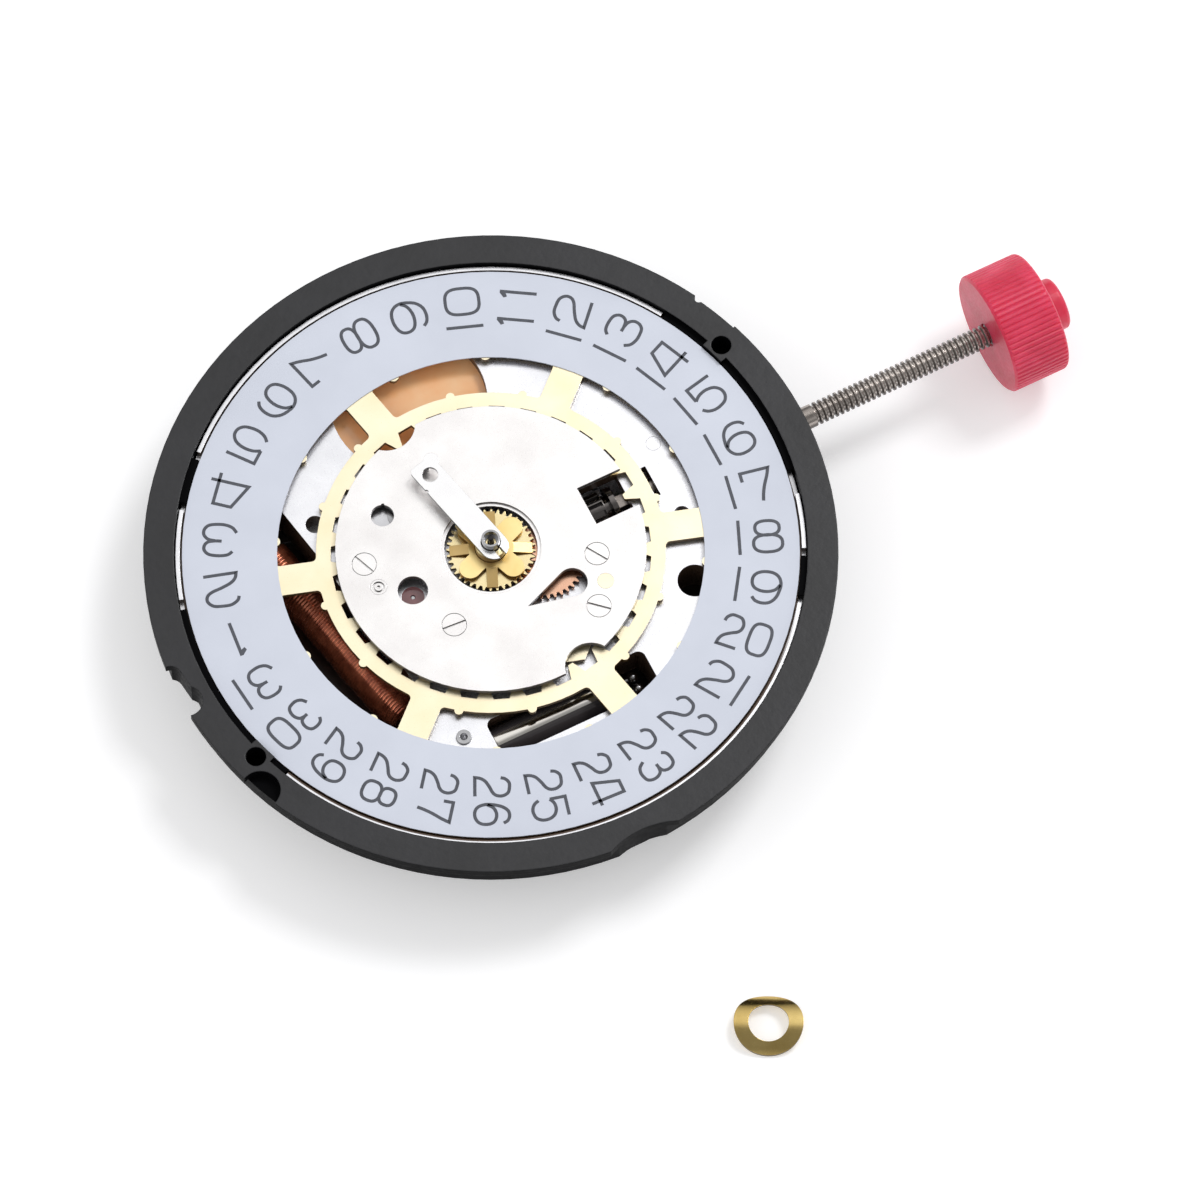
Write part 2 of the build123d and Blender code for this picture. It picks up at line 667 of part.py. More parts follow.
# Holder ring: a casing wall with a flange, a thin skirt down to a ledge under the plate,
# two lugs for the dial's feet and claws over the plate's rim
def make_holder_ring():
    flange_foot = RING_HEIGHT - FLANGE_T
    skirt_foot = PLATE_FOOT - LEDGE_H
    low, top = RING_FOOT - CUT_OVER, RING_HEIGHT + CUT_OVER
    wall_d = RING_BORE_D + RIM_T
    ring = tube(CASING_D, RING_BORE_D, RING_FOOT, flange_foot)
    ring += tube(FLANGE_D, RING_BORE_D, flange_foot, RING_HEIGHT)
    ring += tube(RING_BORE_D + 2 * SKIRT_W, RING_BORE_D, skirt_foot, RING_FOOT)
    ring += tube(wall_d, RING_BORE_D - 2 * LEDGE_W, skirt_foot, PLATE_FOOT)
    # The lugs reach the ring's top only beside the holes; the rest stays as low as the claws
    claw_top = PLATE_TOP + RIM_H
    for turn in (0, 180):
        for half, level in ((FOOT_LUG_HALF, claw_top), (LUG_TOP_HALF, RING_HEIGHT)):
            first, last = FOOT_ANGLE + turn - half, FOOT_ANGLE + turn + half
            ring += sector(wall_d, LUG_BORE_D, first, last, PLATE_FOOT, level)
    for first, last in CLAW_ARCS:
        ring += sector(wall_d, LUG_BORE_D, first, last, PLATE_TOP + RUN_GAP, claw_top)
    for place in FOOT_PLACES:
        ring -= rod(FOOT_HOLE_D, RING_HEIGHT - FOOT_DEPTH, top, place)
    ring -= x_rod(RING_STEM_HOLE_D, PLATE_R, FLANGE_D / 2 + CUT_OVER)
    # The through notch at 9 o'clock, with a shallower step beside it
    notch_at = polar(FLANGE_D / 2 * NOTCH_REACH_SHARE, NOTCH_ANGLE)
    step_at = polar(FLANGE_D / 2, NOTCH_ANGLE - NOTCH_STEP_TURN)
    ring -= rod(NOTCH_D, low, top, notch_at)
    ring -= bar(notch_at, step_at, NOTCH_STEP_W, low, top)
    # The half-round recess in the top beside it
    recess_at = polar(FLANGE_D / 2 * RECESS_REACH_SHARE, RECESS_ANGLE)
    ring -= rod(RECESS_D, RING_HEIGHT - RECESS_DEPTH, top, recess_at)
    # The wide scoop at 6 o'clock, and the flange's narrow stretch with a nick at 1 o'clock
    ring -= rod(SCOOP_D, low, top, polar(FLANGE_D / 2 * SCOOP_REACH_SHARE, SCOOP_ANGLE))
    ring -= sector(FLANGE_D + CUT_OVER, FLANGE_D - 2 * SIDE_CUT_W, *SIDE_CUT_ANGLES, low, top)
    return ring - rod(SIDE_NICK_D, low, top, polar(FLANGE_D / 2, SIDE_CUT_ANGLES[1]))


# Main plate: a thick disc with pockets for the cell, the coil, the crystal, the train
# and the keyless works
def make_main_plate():
    low, high = PLATE_FOOT - CUT_OVER, PLATE_TOP + CUT_OVER
    plate = rod(PLATE_D, PLATE_FOOT, PLATE_TOP)
    # Room for the dial-foot lugs of the holder ring
    for turn in (0, 180):
        first = FOOT_ANGLE + turn - FOOT_LUG_HALF - LUG_PLAY
        last = FOOT_ANGLE + turn + FOOT_LUG_HALF + LUG_PLAY
        plate -= sector(PLATE_D + CUT_OVER, LUG_BORE_D - 2 * FIT_GAP, first, last, low, high)
    plate += tube(TRACK_D, TRACK_D - 2 * TRACK_W, PLATE_TOP, PLATE_TOP + TRACK_H)
    for first, last in RIM_ARCS:
        plate += sector(PLATE_D, PLATE_D - 2 * RIM_T, first, last, PLATE_TOP, PLATE_TOP + RIM_H)
    for place in SCREW_PLACES + [RIVET_AT]:
        plate += rod(BOSS_D, PLATE_TOP, COVER_FOOT, place)
    for place in BRIDGE_PLACES:
        plate += rod(PILLAR_STEP_D, BRIDGE_TOP, PLATE_FOOT, place)
    for place in SCREEN_PLACES:
        plate += rod(PILLAR_D, BOARD_TOP, PLATE_FOOT, place)
        plate += rod(PILLAR_STEP_D, SCREEN_T, BOARD_TOP, place)
    for place in STRAP_PLACES:
        plate += rod(PILLAR_D, BOARD_TOP, PLATE_FOOT, place)
        plate += rod(PILLAR_STEP_D, STRAP_FOOT + STRAP_T, BOARD_TOP, place)
    plate += rod(MINUTE_POST_D, PLATE_TOP, LOW_FOOT - FIT_GAP, MINUTE_AT)
    # The cell's pocket, the round window over it and the contact leaf's way to the board
    plate -= rod(CELL_D + 4 * RUN_GAP, low, FILM_TOP + FIT_GAP, CELL_AT)
    plate -= rod(WINDOW_D, low, high, CELL_AT)
    plate -= bar(CELL_AT, CONTACT_END, CONTACT_W + 2 * RUN_GAP, low, FILM_TOP + FIT_GAP)
    # The coil's pocket, the shallower one for its core and the window over it
    plate -= coil_box(COIL_RUN + 4 * RUN_GAP, COIL_D + 4 * RUN_GAP, low, COIL_LEVEL + COIL_D / 2 + RUN_GAP)
    plate -= coil_box(COIL_RUN + 2 * CORE_OVER, CORE_W + 4 * RUN_GAP, low, STATOR_TOP + CORE_T + RUN_GAP)
    for place in CORE_ENDS:
        plate -= rod(CORE_END_D + 4 * RUN_GAP, low, STATOR_TOP + CORE_T + RUN_GAP, place)
        plate -= rod(SHANK_HOLE_D, low, STATOR_FOOT + SCREW_LENGTH + RUN_GAP, place)
    coil_window = [share_of(PLATE_R, shares) for shares in COIL_WINDOW_SHARES]
    plate -= window(coil_window, low, high, PLATE_WINDOW_ROUND)
    # The crystal's pocket and the window over it
    can_end = CAN_AT[0] + CAN_LENGTH / 2 + LEAD_REACH + LEAD_BALL_D
    can_sides = (CAN_AT[1] - CAN_D / 2 - RUN_GAP, CAN_AT[1] + CAN_D / 2 + RUN_GAP)
    plate -= block(CAN_AT[0] - CAN_LENGTH / 2 - RUN_GAP, can_end, can_sides, low,
                   CAN_LEVEL + CAN_D / 2 + RUN_GAP)
    crystal_window = [share_of(PLATE_R, shares) for shares in CRYSTAL_WINDOW_SHARES]
    plate -= window(crystal_window, low, high, PLATE_WINDOW_ROUND)
    # Pockets for the wheels and the rotor, and the pivots' holes
    for teeth, module, place in (
        (CENTRE_TEETH, CENTRE_MODULE, CENTRE), (THIRD_TEETH, THIRD_MODULE, THIRD_AT),
        (STEP_TEETH, ROTOR_MODULE, STEP_AT),
    ):
        plate -= rod(teeth * module + 6 * RUN_GAP, low, TRAIN_POCKET_TOP, place)
    plate -= rod(ROTOR_D + 4 * RUN_GAP, low, TRAIN_POCKET_TOP, ROTOR_AT)
    for place in (THIRD_AT, STEP_AT):
        plate -= rod(PIVOT_D + 2 * FIT_GAP, low, TRAIN_POCKET_TOP + PIVOT_LENGTH + FIT_GAP, place)
    plate -= rod(JEWEL_D, PLATE_TOP - JEWEL_T, high, ROTOR_AT)
    plate -= rod(TRAIN_ARBOR_D + 2 * RUN_GAP, low, high, ROTOR_AT)
    plate -= rod(ARBOR_D + 2 * RUN_GAP, low, high)
    # Holes for the screws, studs and pins
    for place in SCREW_PLACES:
        plate -= rod(SHANK_HOLE_D, COVER_FOOT - SCREW_LENGTH, high, place)
    for place in SCREEN_PLACES + STRAP_PLACES + BRIDGE_PLACES:
        plate -= rod(SHANK_HOLE_D, 0, BRIDGE_FOOT + SCREW_LENGTH + RUN_GAP, place)
    for place, diameter in STUDS + ((JUMPER_PIN_AT, PIVOT_PIN_D),):
        plate -= rod(diameter + 2 * PRESS_GAP, PLATE_TOP - STUD_SEAT, high, place)
    plate -= rod(RIVET_D / 2 + 2 * PRESS_GAP, PLATE_TOP - STUD_SEAT, high, RIVET_AT)
    plate -= rod(TUBE_PIN_D + 2 * PRESS_GAP, PLATE_TOP - STUD_SEAT, high, TUBE_PIN_AT)
    # Round holes that show in the date ring's windows
    plate -= rod(PLATE_R * ROUND_HOLE_R_SHARE * 2, low, high, share_of(PLATE_R, ROUND_HOLE_SHARE))
    for shares, r_share, depth in (
        (MOON_HOLE_SHARE, MOON_HOLE_R_SHARE, MOON_HOLE_DEPTH),
        (SMALL_HOLE_SHARE, SMALL_HOLE_R_SHARE, STUD_SEAT),
    ):
        plate -= rod(PLATE_R * r_share * 2, PLATE_TOP - depth, high, share_of(PLATE_R, shares))
    # The stem's channel, the sliding pinion's slot and the keyless pocket
    plate -= x_rod(STEM_HOLE_D, STEM_START - RUN_GAP, PLATE_R + CUT_OVER)
    half = PINION_D / 2 + 2 * RUN_GAP
    slot_start = PINION_START - YOKE_TRAVEL - RUN_GAP
    slot_end = PINION_START + PINION_LENGTH + YOKE_TRAVEL + RUN_GAP
    plate -= block(slot_start, slot_end, (-half, half), STEM_LEVEL - half, high)
    plate -= block(*KEY_POCKET, KEY_POCKET_SIDES, low, KEY_POCKET_TOP)
    plate -= block(RELEASE_AT - RELEASE_W / 2, RELEASE_AT + RELEASE_W / 2,
                   (-RELEASE_LENGTH / 2, RELEASE_LENGTH / 2), low, high)
    plate -= rod(PIVOT_PIN_D + 2 * PRESS_GAP, low, high, LEVER_PIVOT)
    plate -= rod(LEVER_PIN_HEAD_D + 2 * PRESS_GAP, PLATE_TOP - LEVER_PIN_HEAD_T, high, LEVER_PIVOT)
    for place in GUIDE_PLACES:
        plate -= rod(GUIDE_D + 2 * PRESS_GAP, low, KEY_POCKET_TOP + GUIDE_SEAT, place)
    # The detent spring's seat
    plate -= rod(DETENT_PAD_D + 4 * RUN_GAP, low, DETENT_TOP, DETENT_FOOT_AT)
    plate -= rod(DETENT_PIN_D + 2 * PRESS_GAP, low, DETENT_TOP + DETENT_PIN_H, DETENT_FOOT_AT)
    return plate


parts["holder_ring"] = make_holder_ring()
parts["main_plate"] = make_main_plate()


# Date ring: inner teeth, six windows between parallel-sided spokes, half-round bumps
def make_date_ring():
    outline = []
    for n in range(DATE_TEETH):
        middle = TOOTH_ANGLE + 360 * n / DATE_TEETH
        for diameter, width, side in (
            (TOOTH_ROOT_D, TOOTH_ROOT_W, -1), (TOOTH_TIP_D, TOOTH_TIP_W, -1),
            (TOOTH_TIP_D, TOOTH_TIP_W, 1), (TOOTH_ROOT_D, TOOTH_ROOT_W, 1),
        ):
            outline.append(polar(diameter / 2, middle + side * math.degrees(width / diameter)))
    low, high = DATE_FOOT - CUT_OVER, DATE_TOP + CUT_OVER
    windows = tube(WINDOW_OD, HUB_OD, low, high)
    spokes = []
    for n in range(SPOKES):
        from_axis = (Align.MIN, Align.CENTER, Align.CENTER)
        spoke = Box(WINDOW_OD, SPOKE_W, high - low + CUT_OVER, align=from_axis)
        spokes.append(Pos(0, 0, (low + high) / 2) * Rot(0, 0, SPOKE_ANGLE + 360 * n / SPOKES) * spoke)
    windows -= spokes
    corner_r = min(WINDOW_ROUND, (WINDOW_OD - HUB_OD) * ROUND_LIMIT_SHARE)
    windows = fillet(windows.edges().filter_by(Axis.Z), corner_r)
    bumps = []
    for n in range(SPOKES):
        for start in BUMP_STARTS_OUTER:
            place = polar(WINDOW_OD / 2, start + 360 * n / SPOKES)
            bumps.append(rod(2 * OUTER_BUMP_R, low, high, place))
        for start in BUMP_STARTS_INNER:
            place = polar(HUB_OD / 2, start + 360 * n / SPOKES)
            bumps.append(rod(2 * INNER_BUMP_R, low, high, place))
    return rod(DATE_OD, DATE_FOOT, DATE_TOP) - slab(outline, low, high) - (windows - bumps)


parts["date_ring"] = make_date_ring()
parts["date_print_band"] = tube(DATE_OD, PAINT_BORE_D, DATE_TOP, DATE_TOP + PAINT_T)


# Date cover plate: the disc over the date ring's teeth
def make_cover():
    low, high = COVER_FOOT - CUT_OVER, COVER_TOP + CUT_OVER
    cover = rod(COVER_D, COVER_FOOT, COVER_TOP)
    cover -= rod(COVER_STEP_D, low, high)
    cover -= rod(COVER_HOLE_D, COVER_FOOT + COVER_T / 2, high)
    for place in SCREW_PLACES:
        cover -= rod(SHANK_HOLE_D, low, high, place)
        cover -= rod(SCREW_HEAD_D + 2 * FIT_GAP, COVER_TOP - SCREW_HEAD_T, high, place)
    cover -= rod(RIVET_D + 2 * PRESS_GAP, low, high, RIVET_AT)
    cover -= rod(PIN_HEAD_D + 2 * PRESS_GAP, low, high, JUMPER_PIN_AT)
    cover -= rod(JEWEL_WINDOW_D, low, high, ROTOR_AT)
    # The round hole with its nick
    nick_hole_at = share_of(COVER_R, NICK_HOLE_SHARE)
    nick_hole_r = COVER_R * NICK_HOLE_R_SHARE
    cover -= rod(2 * nick_hole_r, low, high, nick_hole_at)
    cover -= rod(nick_hole_r * NICK_SHARE, low, high, polar(nick_hole_r, NICK_ANGLE, nick_hole_at))
    # The bites in the edge, over the date jumper's nose and over the cell
    for shares, r_share in (
        (LOWER_BITE_SHARE, LOWER_BITE_R_SHARE), (UPPER_BITE_SHARE, UPPER_BITE_R_SHARE),
    ):
        cover -= rod(2 * COVER_R * r_share, low, high, share_of(COVER_R, shares))
    # The drop-shaped window over the minute wheel
    tip = share_of(COVER_R, DROP_TIP_SHARE)
    round_at = share_of(COVER_R, DROP_ROUND_SHARE)
    round_r = COVER_R * DROP_ROUND_R_SHARE
    reach = math.dist(tip, round_at)
    line = math.degrees(math.atan2(tip[1] - round_at[1], tip[0] - round_at[0]))
    spread = math.degrees(math.acos(round_r / reach))
    sides = [polar(round_r, line + side * spread, round_at) for side in (1, -1)]
    cover -= slab([tip, sides[0], round_at, sides[1]], low, high)
    cover -= rod(2 * round_r, low, high, round_at)
    # The window over the sliding pinion, open to the edge
    return cover - slab([share_of(COVER_R, shares) for shares in KEY_WINDOW_SHARES], low, high)


parts["date_cover_plate"] = make_cover()
parts["cover_screws"] = group(
    screw(place, COVER_TOP, 1, angle) for place, angle in zip(SCREW_PLACES, SCREW_SLOT_ANGLES)
)
rivet = rod(RIVET_D, COVER_FOOT, COVER_TOP, RIVET_AT)
rivet += rod(RIVET_D / 2, PLATE_TOP - STUD_SEAT, COVER_FOOT, RIVET_AT)
ring_groove = tube(RIVET_D * RIVET_GROOVE_SHARE, RIVET_D / 2, COVER_TOP - SLOT_DEPTH, COVER_TOP + CUT_OVER,
                   RIVET_AT)
parts["cover_rivet"] = rivet - ring_groove - rod(
    RIVET_D * RIVET_DIMPLE_SHARE, COVER_TOP - SLOT_DEPTH, COVER_TOP + CUT_OVER, RIVET_AT
)
parts["date_jumper_pin"] = rod(PIN_HEAD_D, COVER_FOOT, COVER_TOP, JUMPER_PIN_AT) + rod(
    PIVOT_PIN_D, PLATE_TOP - STUD_SEAT, COVER_FOOT, JUMPER_PIN_AT
)


# Date jumper: an arm from its pin round the screw boss to a wedge between two date teeth
def make_jumper():
    low, high = DATE_FOOT, DATE_FOOT + JUMPER_T
    head = [polar(JUMPER_NOSE_R, JUMPER_ANGLE)]
    for radius, turn in (
        (JUMPER_FLANK_R, JUMPER_FLANK_TURN), (JUMPER_BACK_R, JUMPER_BACK_TURN),
        (JUMPER_BACK_R, -JUMPER_BACK_TURN), (JUMPER_FLANK_R, -JUMPER_FLANK_TURN),
    ):
        head.append(polar(radius, JUMPER_ANGLE + turn))
    jumper = slab(head, low, high)
    jumper += bar(JUMPER_PIN_AT, JUMPER_ELBOW, JUMPER_W, low, high)
    jumper += bar(JUMPER_ELBOW, polar(JUMPER_BACK_R + JUMPER_W, JUMPER_ANGLE), JUMPER_W, low, high)
    jumper += rod(JUMPER_HUB_D, low, high, JUMPER_PIN_AT)
    return jumper - rod(PIVOT_PIN_D + RUN_GAP, low - CUT_OVER, high + CUT_OVER, JUMPER_PIN_AT)


parts["date_jumper"] = make_jumper()

# Motion works and date train on the dial side
hour_wheel = toothed(HOUR_TEETH, DIAL_MODULE, 0, HIGH_FOOT, HIGH_TOP, CENTRE)
hour_wheel += rod(PIPE_D, HIGH_FOOT, PIPE_TOP)
parts["hour_wheel"] = hour_wheel - rod(PIPE_BORE_D, HIGH_FOOT - CUT_OVER, PIPE_TOP + CUT_OVER)

cannon = toothed(CANNON_TEETH, MINUTE_MODULE, CANNON_PHASE, LOW_FOOT, LOW_TOP, CENTRE)
cannon += rod(CANNON_D, LOW_FOOT, CANNON_TOP)
cannon -= rod(CANNON_BORE_D, LOW_FOOT - CUT_OVER, CANNON_TOP + CUT_OVER)
parts["cannon_pinion"] = cannon - rod(CANNON_MOUTH_D, ARBOR_TOP, CANNON_TOP + CUT_OVER)

minute_wheel = toothed(MINUTE_TEETH, MINUTE_MODULE, 0, LOW_FOOT, LOW_TOP, MINUTE_AT)
minute_wheel += toothed(
    MINUTE_PINION_TEETH, DIAL_MODULE, MINUTE_PINION_PHASE, LOW_TOP, HIGH_TOP - FIT_GAP, MINUTE_AT
)
parts["minute_wheel"] = minute_wheel - rod(
    STUD_D + RUN_GAP, LOW_FOOT - CUT_OVER, HIGH_TOP + CUT_OVER, MINUTE_AT
)

setting_wheel = toothed(SETTING_TEETH, MINUTE_MODULE, SETTING_PHASE, LOW_FOOT, LOW_TOP, SETTING_AT)
parts["setting_wheel"] = setting_wheel - rod(
    STUD_D + RUN_GAP, LOW_FOOT - CUT_OVER, LOW_TOP + CUT_OVER, SETTING_AT
)

date_step_wheel = toothed(
    DATE_STEP_PINION_TEETH, DIAL_MODULE, 0, LOW_FOOT, LOW_TOP - STEP_PINION_DROP, DATE_STEP_AT
)
date_step_wheel += rod(STEP_HUB_D, LOW_TOP - STEP_PINION_DROP, HIGH_FOOT, DATE_STEP_AT)
date_step_wheel += toothed(
    DATE_STEP_TEETH, DIAL_MODULE, DATE_STEP_PHASE, HIGH_FOOT, HIGH_TOP, DATE_STEP_AT
)
parts["date_step_wheel"] = date_step_wheel - rod(
    STEP_STUD_D + RUN_GAP / 2, LOW_FOOT - CUT_OVER, HIGH_TOP + CUT_OVER, DATE_STEP_AT
)

drive_bore = rod(STUD_D + RUN_GAP, LOW_FOOT - CUT_OVER, HIGH_TOP + CUT_OVER, DATE_DRIVE_AT)
date_driving_wheel = toothed(
    DATE_DRIVE_TEETH, DIAL_MODULE, DATE_DRIVE_PHASE, LOW_FOOT, LOW_TOP, DATE_DRIVE_AT
)
parts["date_driving_wheel"] = date_driving_wheel - drive_bore

# The driving finger points inwards at rest and reaches the date teeth half a turn later
drive_reach = math.dist(CENTRE, DATE_DRIVE_AT)
drive_line = math.degrees(math.atan2(DATE_DRIVE_AT[1], DATE_DRIVE_AT[0]))
finger_length = FINGER_REACH - drive_reach
finger_spread = math.degrees(math.atan2(FINGER_TIP_W / 2, finger_length))
finger_outline = [
    polar(math.hypot(finger_length, FINGER_TIP_W / 2), drive_line + 180 + side * finger_spread, DATE_DRIVE_AT)
    for side in (-1, 1)
] + [polar(FINGER_W / 2, drive_line + 180 + turn, DATE_DRIVE_AT) for turn in (90, -90)]
date_finger = slab(finger_outline, LOW_TOP, LOW_TOP + FINGER_T)
date_finger += rod(FINGER_HUB_D, LOW_TOP, LOW_TOP + FINGER_T, DATE_DRIVE_AT)
parts["date_finger"] = date_finger - drive_bore

corrector_outline = []
for n in range(CORRECTOR_FINGERS):
    middle = CORRECTOR_ANGLE + 360 / CORRECTOR_FINGERS * (n + 1 / 2)
    corrector_outline += [
        polar(CORRECTOR_R, middle - CORRECTOR_TIP_TURN, CORRECTOR_AT),
        polar(CORRECTOR_R, middle + CORRECTOR_TIP_TURN, CORRECTOR_AT),
        polar(CORRECTOR_HUB_R, middle + 180 / CORRECTOR_FINGERS, CORRECTOR_AT),
    ]
parts["date_corrector"] = slab(corrector_outline, LOW_FOOT, LOW_FOOT + CORRECTOR_T) - rod(
    STUD_D + RUN_GAP, LOW_FOOT - CUT_OVER, HIGH_TOP, CORRECTOR_AT
)
parts["dial_studs"] = group(
    rod(diameter, PLATE_TOP - STUD_SEAT, STUD_TOP, place) for place, diameter in STUDS
)


# Star spring on the hour wheel: a raised hub ring with flat arms, and narrow arms that
# bend down to the wheel
def make_star():
    low = HIGH_TOP + STAR_RISE
    high = low + STAR_T
    bore = PIPE_D + 2 * STAR_BORE_PLAY
    star = rod(STAR_HUB_D, low, high)
    reach = STAR_OD / 2 - STAR_WIDE_W / 2
    for n in range(STAR_ARMS):
        angle = STAR_ANGLE + 360 * n / STAR_ARMS
        star += bar(CENTRE, polar(reach, angle), STAR_WIDE_W, low, high)
        drop = low - HIGH_TOP
        start, end = STAR_HUB_D / 2 * STAR_BEND_SHARE, STAR_OD / 2
        section = [(start, low), (end, low - drop), (end, high - drop), (start, high)]
        face = make_face(Polyline(*[(x, 0, z) for x, z in section], close=True))
        arm = extrude(face, amount=STAR_NARROW_W / 2, dir=(0, 1, 0), both=True)
        star += Rot(0, 0, angle + 180 / STAR_ARMS) * arm
    return star - rod(bore, HIGH_TOP - CUT_OVER, high + CUT_OVER)


parts["star_spring"] = make_star()


# Hour wheel clip: a raised strip with a forked end round the cannon pinion and a leg
# at its other end
def make_clip():
    low = COVER_TOP + CLIP_RISE
    high = low + CLIP_T

    def along(distance, aside=0):
        place = polar(distance, CLIP_ANGLE)
        return polar(aside, CLIP_ANGLE - 90, place)

    eye_at = along(CLIP_END - CLIP_EYE_IN)
    clip = bar(along(CLIP_W / 2 - CLIP_OVER), eye_at, CLIP_W, low, high)
    # The far end is square at its left corner and has a lobe at its right one
    left = CLIP_CORNER_D / 2 - CLIP_W / 2
    corner_at = along(CLIP_END - CLIP_CORNER_D / 2, left)
    lobe_at = along(CLIP_END - CLIP_LOBE_IN, CLIP_W / 2 - CLIP_LOBE_EDGE)
    clip += bar(along(CLIP_END - CLIP_EYE_IN, left), corner_at, CLIP_CORNER_D, low, high)
    clip += bar(corner_at, lobe_at, CLIP_CORNER_D, low, high)
    clip += rod(CLIP_LOBE_D, low, high, lobe_at)
    clip -= rod(CLIP_HOLE_D, low - CUT_OVER, high + CUT_OVER)
    clip -= bar(CENTRE, along(-CLIP_W), CLIP_SLOT_W, low - CUT_OVER, high + CUT_OVER)
    clip -= rod(CLIP_EYE_D, low - CUT_OVER, high + CUT_OVER, eye_at)
    notch_at = along(CLIP_END - CLIP_NOTCH_IN, -CLIP_W / 2)
    clip -= rod(CLIP_NOTCH_D, low - CUT_OVER, high + CUT_OVER, notch_at)
    leg = Pos(*along(CLIP_END - CLIP_FOOT_IN), (COVER_TOP + high) / 2) * Rot(0, 0, CLIP_ANGLE)
    return clip + leg * Box(CLIP_FOOT_T, CLIP_FOOT_W, high - COVER_TOP)


parts["hour_wheel_clip"] = make_clip()

# Going train, from the rotor up to the centre
arbor_low, arbor_high = BRIDGE_TOP + RUN_GAP, TRAIN_POCKET_TOP - RUN_GAP
pivot_low = BRIDGE_FOOT + RUN_GAP
seconds_foot = BRIDGE_TOP + SECONDS_LEVEL
seconds_wheel = toothed(SECONDS_TEETH, SECONDS_MODULE, 0, seconds_foot, seconds_foot + TRAIN_T, CENTRE)
seconds_pinion_foot = BRIDGE_TOP + CENTRE_LEVEL - 2 * FIT_GAP - TRAIN_PINION_T
seconds_wheel += toothed(
    SECONDS_PINION_TEETH, THIRD_MODULE, 0, seconds_pinion_foot, seconds_pinion_foot + TRAIN_PINION_T, CENTRE
)
seconds_wheel += rod(SECONDS_SHAFT_D, arbor_low, ARBOR_TOP)
seconds_wheel += rod(SECONDS_TIP_D, ARBOR_TOP, SECONDS_TOP)
parts["seconds_wheel"] = seconds_wheel + rod(PIVOT_D, pivot_low, arbor_low)

centre_foot = BRIDGE_TOP + CENTRE_LEVEL
centre_top = centre_foot + TRAIN_T
centre_wheel = toothed(CENTRE_TEETH, CENTRE_MODULE, CENTRE_PHASE, centre_foot, centre_top, CENTRE)
centre_wheel += rod(ARBOR_D, centre_foot, ARBOR_TOP)
parts["centre_wheel"] = centre_wheel - rod(ARBOR_BORE_D, centre_foot - CUT_OVER, ARBOR_TOP + CUT_OVER)

third_foot = BRIDGE_TOP + THIRD_LEVEL
third_pinion_foot = third_foot + TRAIN_T + FIT_GAP
third_wheel = toothed(THIRD_TEETH, THIRD_MODULE, THIRD_PHASE, third_foot, third_foot + TRAIN_T, THIRD_AT)
third_wheel += toothed(
    THIRD_PINION_TEETH, CENTRE_MODULE, 0, third_pinion_foot, third_pinion_foot + TRAIN_PINION_T, THIRD_AT
)
third_wheel += rod(TRAIN_ARBOR_D, arbor_low, arbor_high, THIRD_AT)
parts["third_wheel"] = third_wheel + rod(PIVOT_D, pivot_low, TRAIN_POCKET_TOP + PIVOT_LENGTH, THIRD_AT)

step_foot = BRIDGE_TOP + STEP_LEVEL
step_wheel = toothed(STEP_TEETH, ROTOR_MODULE, 0, step_foot, step_foot + TRAIN_T, STEP_AT)
step_wheel += toothed(
    STEP_PINION_TEETH, SECONDS_MODULE, STEP_PINION_PHASE, seconds_foot - FIT_GAP,
    seconds_foot - FIT_GAP + STEP_PINION_T, STEP_AT,
)
step_wheel += rod(TRAIN_ARBOR_D, arbor_low, arbor_high, STEP_AT)
parts["step_wheel"] = step_wheel + rod(PIVOT_D, pivot_low, TRAIN_POCKET_TOP + PIVOT_LENGTH, STEP_AT)

jewel_foot = PLATE_TOP - JEWEL_T
rotor_pinion_foot = step_foot + TRAIN_T / 2 - ROTOR_PINION_T / 2
rotor_arbor = rod(TRAIN_ARBOR_D, arbor_low, jewel_foot - RUN_GAP, ROTOR_AT)
rotor_arbor += rod(PIVOT_D, pivot_low, PLATE_TOP - RUN_GAP, ROTOR_AT)
parts["rotor_pinion"] = rotor_arbor + toothed(
    ROTOR_PINION_TEETH, ROTOR_MODULE, ROTOR_PHASE, rotor_pinion_foot, rotor_pinion_foot + ROTOR_PINION_T,
    ROTOR_AT,
)
parts["rotor_magnet"] = tube(ROTOR_D, TRAIN_ARBOR_D, STATOR_FOOT, STATOR_FOOT + ROTOR_T, ROTOR_AT)
parts["rotor_jewel"] = tube(JEWEL_D, PIVOT_D + 2 * FIT_GAP, jewel_foot, PLATE_TOP, ROTOR_AT)


# Stator, coil and core
def make_stator():
    stator = rod(STATOR_HUB_D, STATOR_FOOT, STATOR_TOP, ROTOR_AT)
    for shares_list, core_end in ((STATOR_UPPER_SHARES, CORE_ENDS[0]), (STATOR_LOWER_SHARES, CORE_ENDS[1])):
        route = [ROTOR_AT] + [share_of(PLATE_R, shares) for shares in shares_list] + [core_end]
        for start, end in zip(route, route[1:]):
            stator += bar(start, end, STATOR_ARM_W, STATOR_FOOT, STATOR_TOP)
        stator += rod(STATOR_LOBE_D, STATOR_FOOT, STATOR_TOP, core_end)
        stator -= rod(SHANK_HOLE_D, STATOR_FOOT - CUT_OVER, STATOR_TOP + CUT_OVER, core_end)
    return stator - rod(STATOR_BORE_D, STATOR_FOOT - CUT_OVER, STATOR_TOP + CUT_OVER, ROTOR_AT)


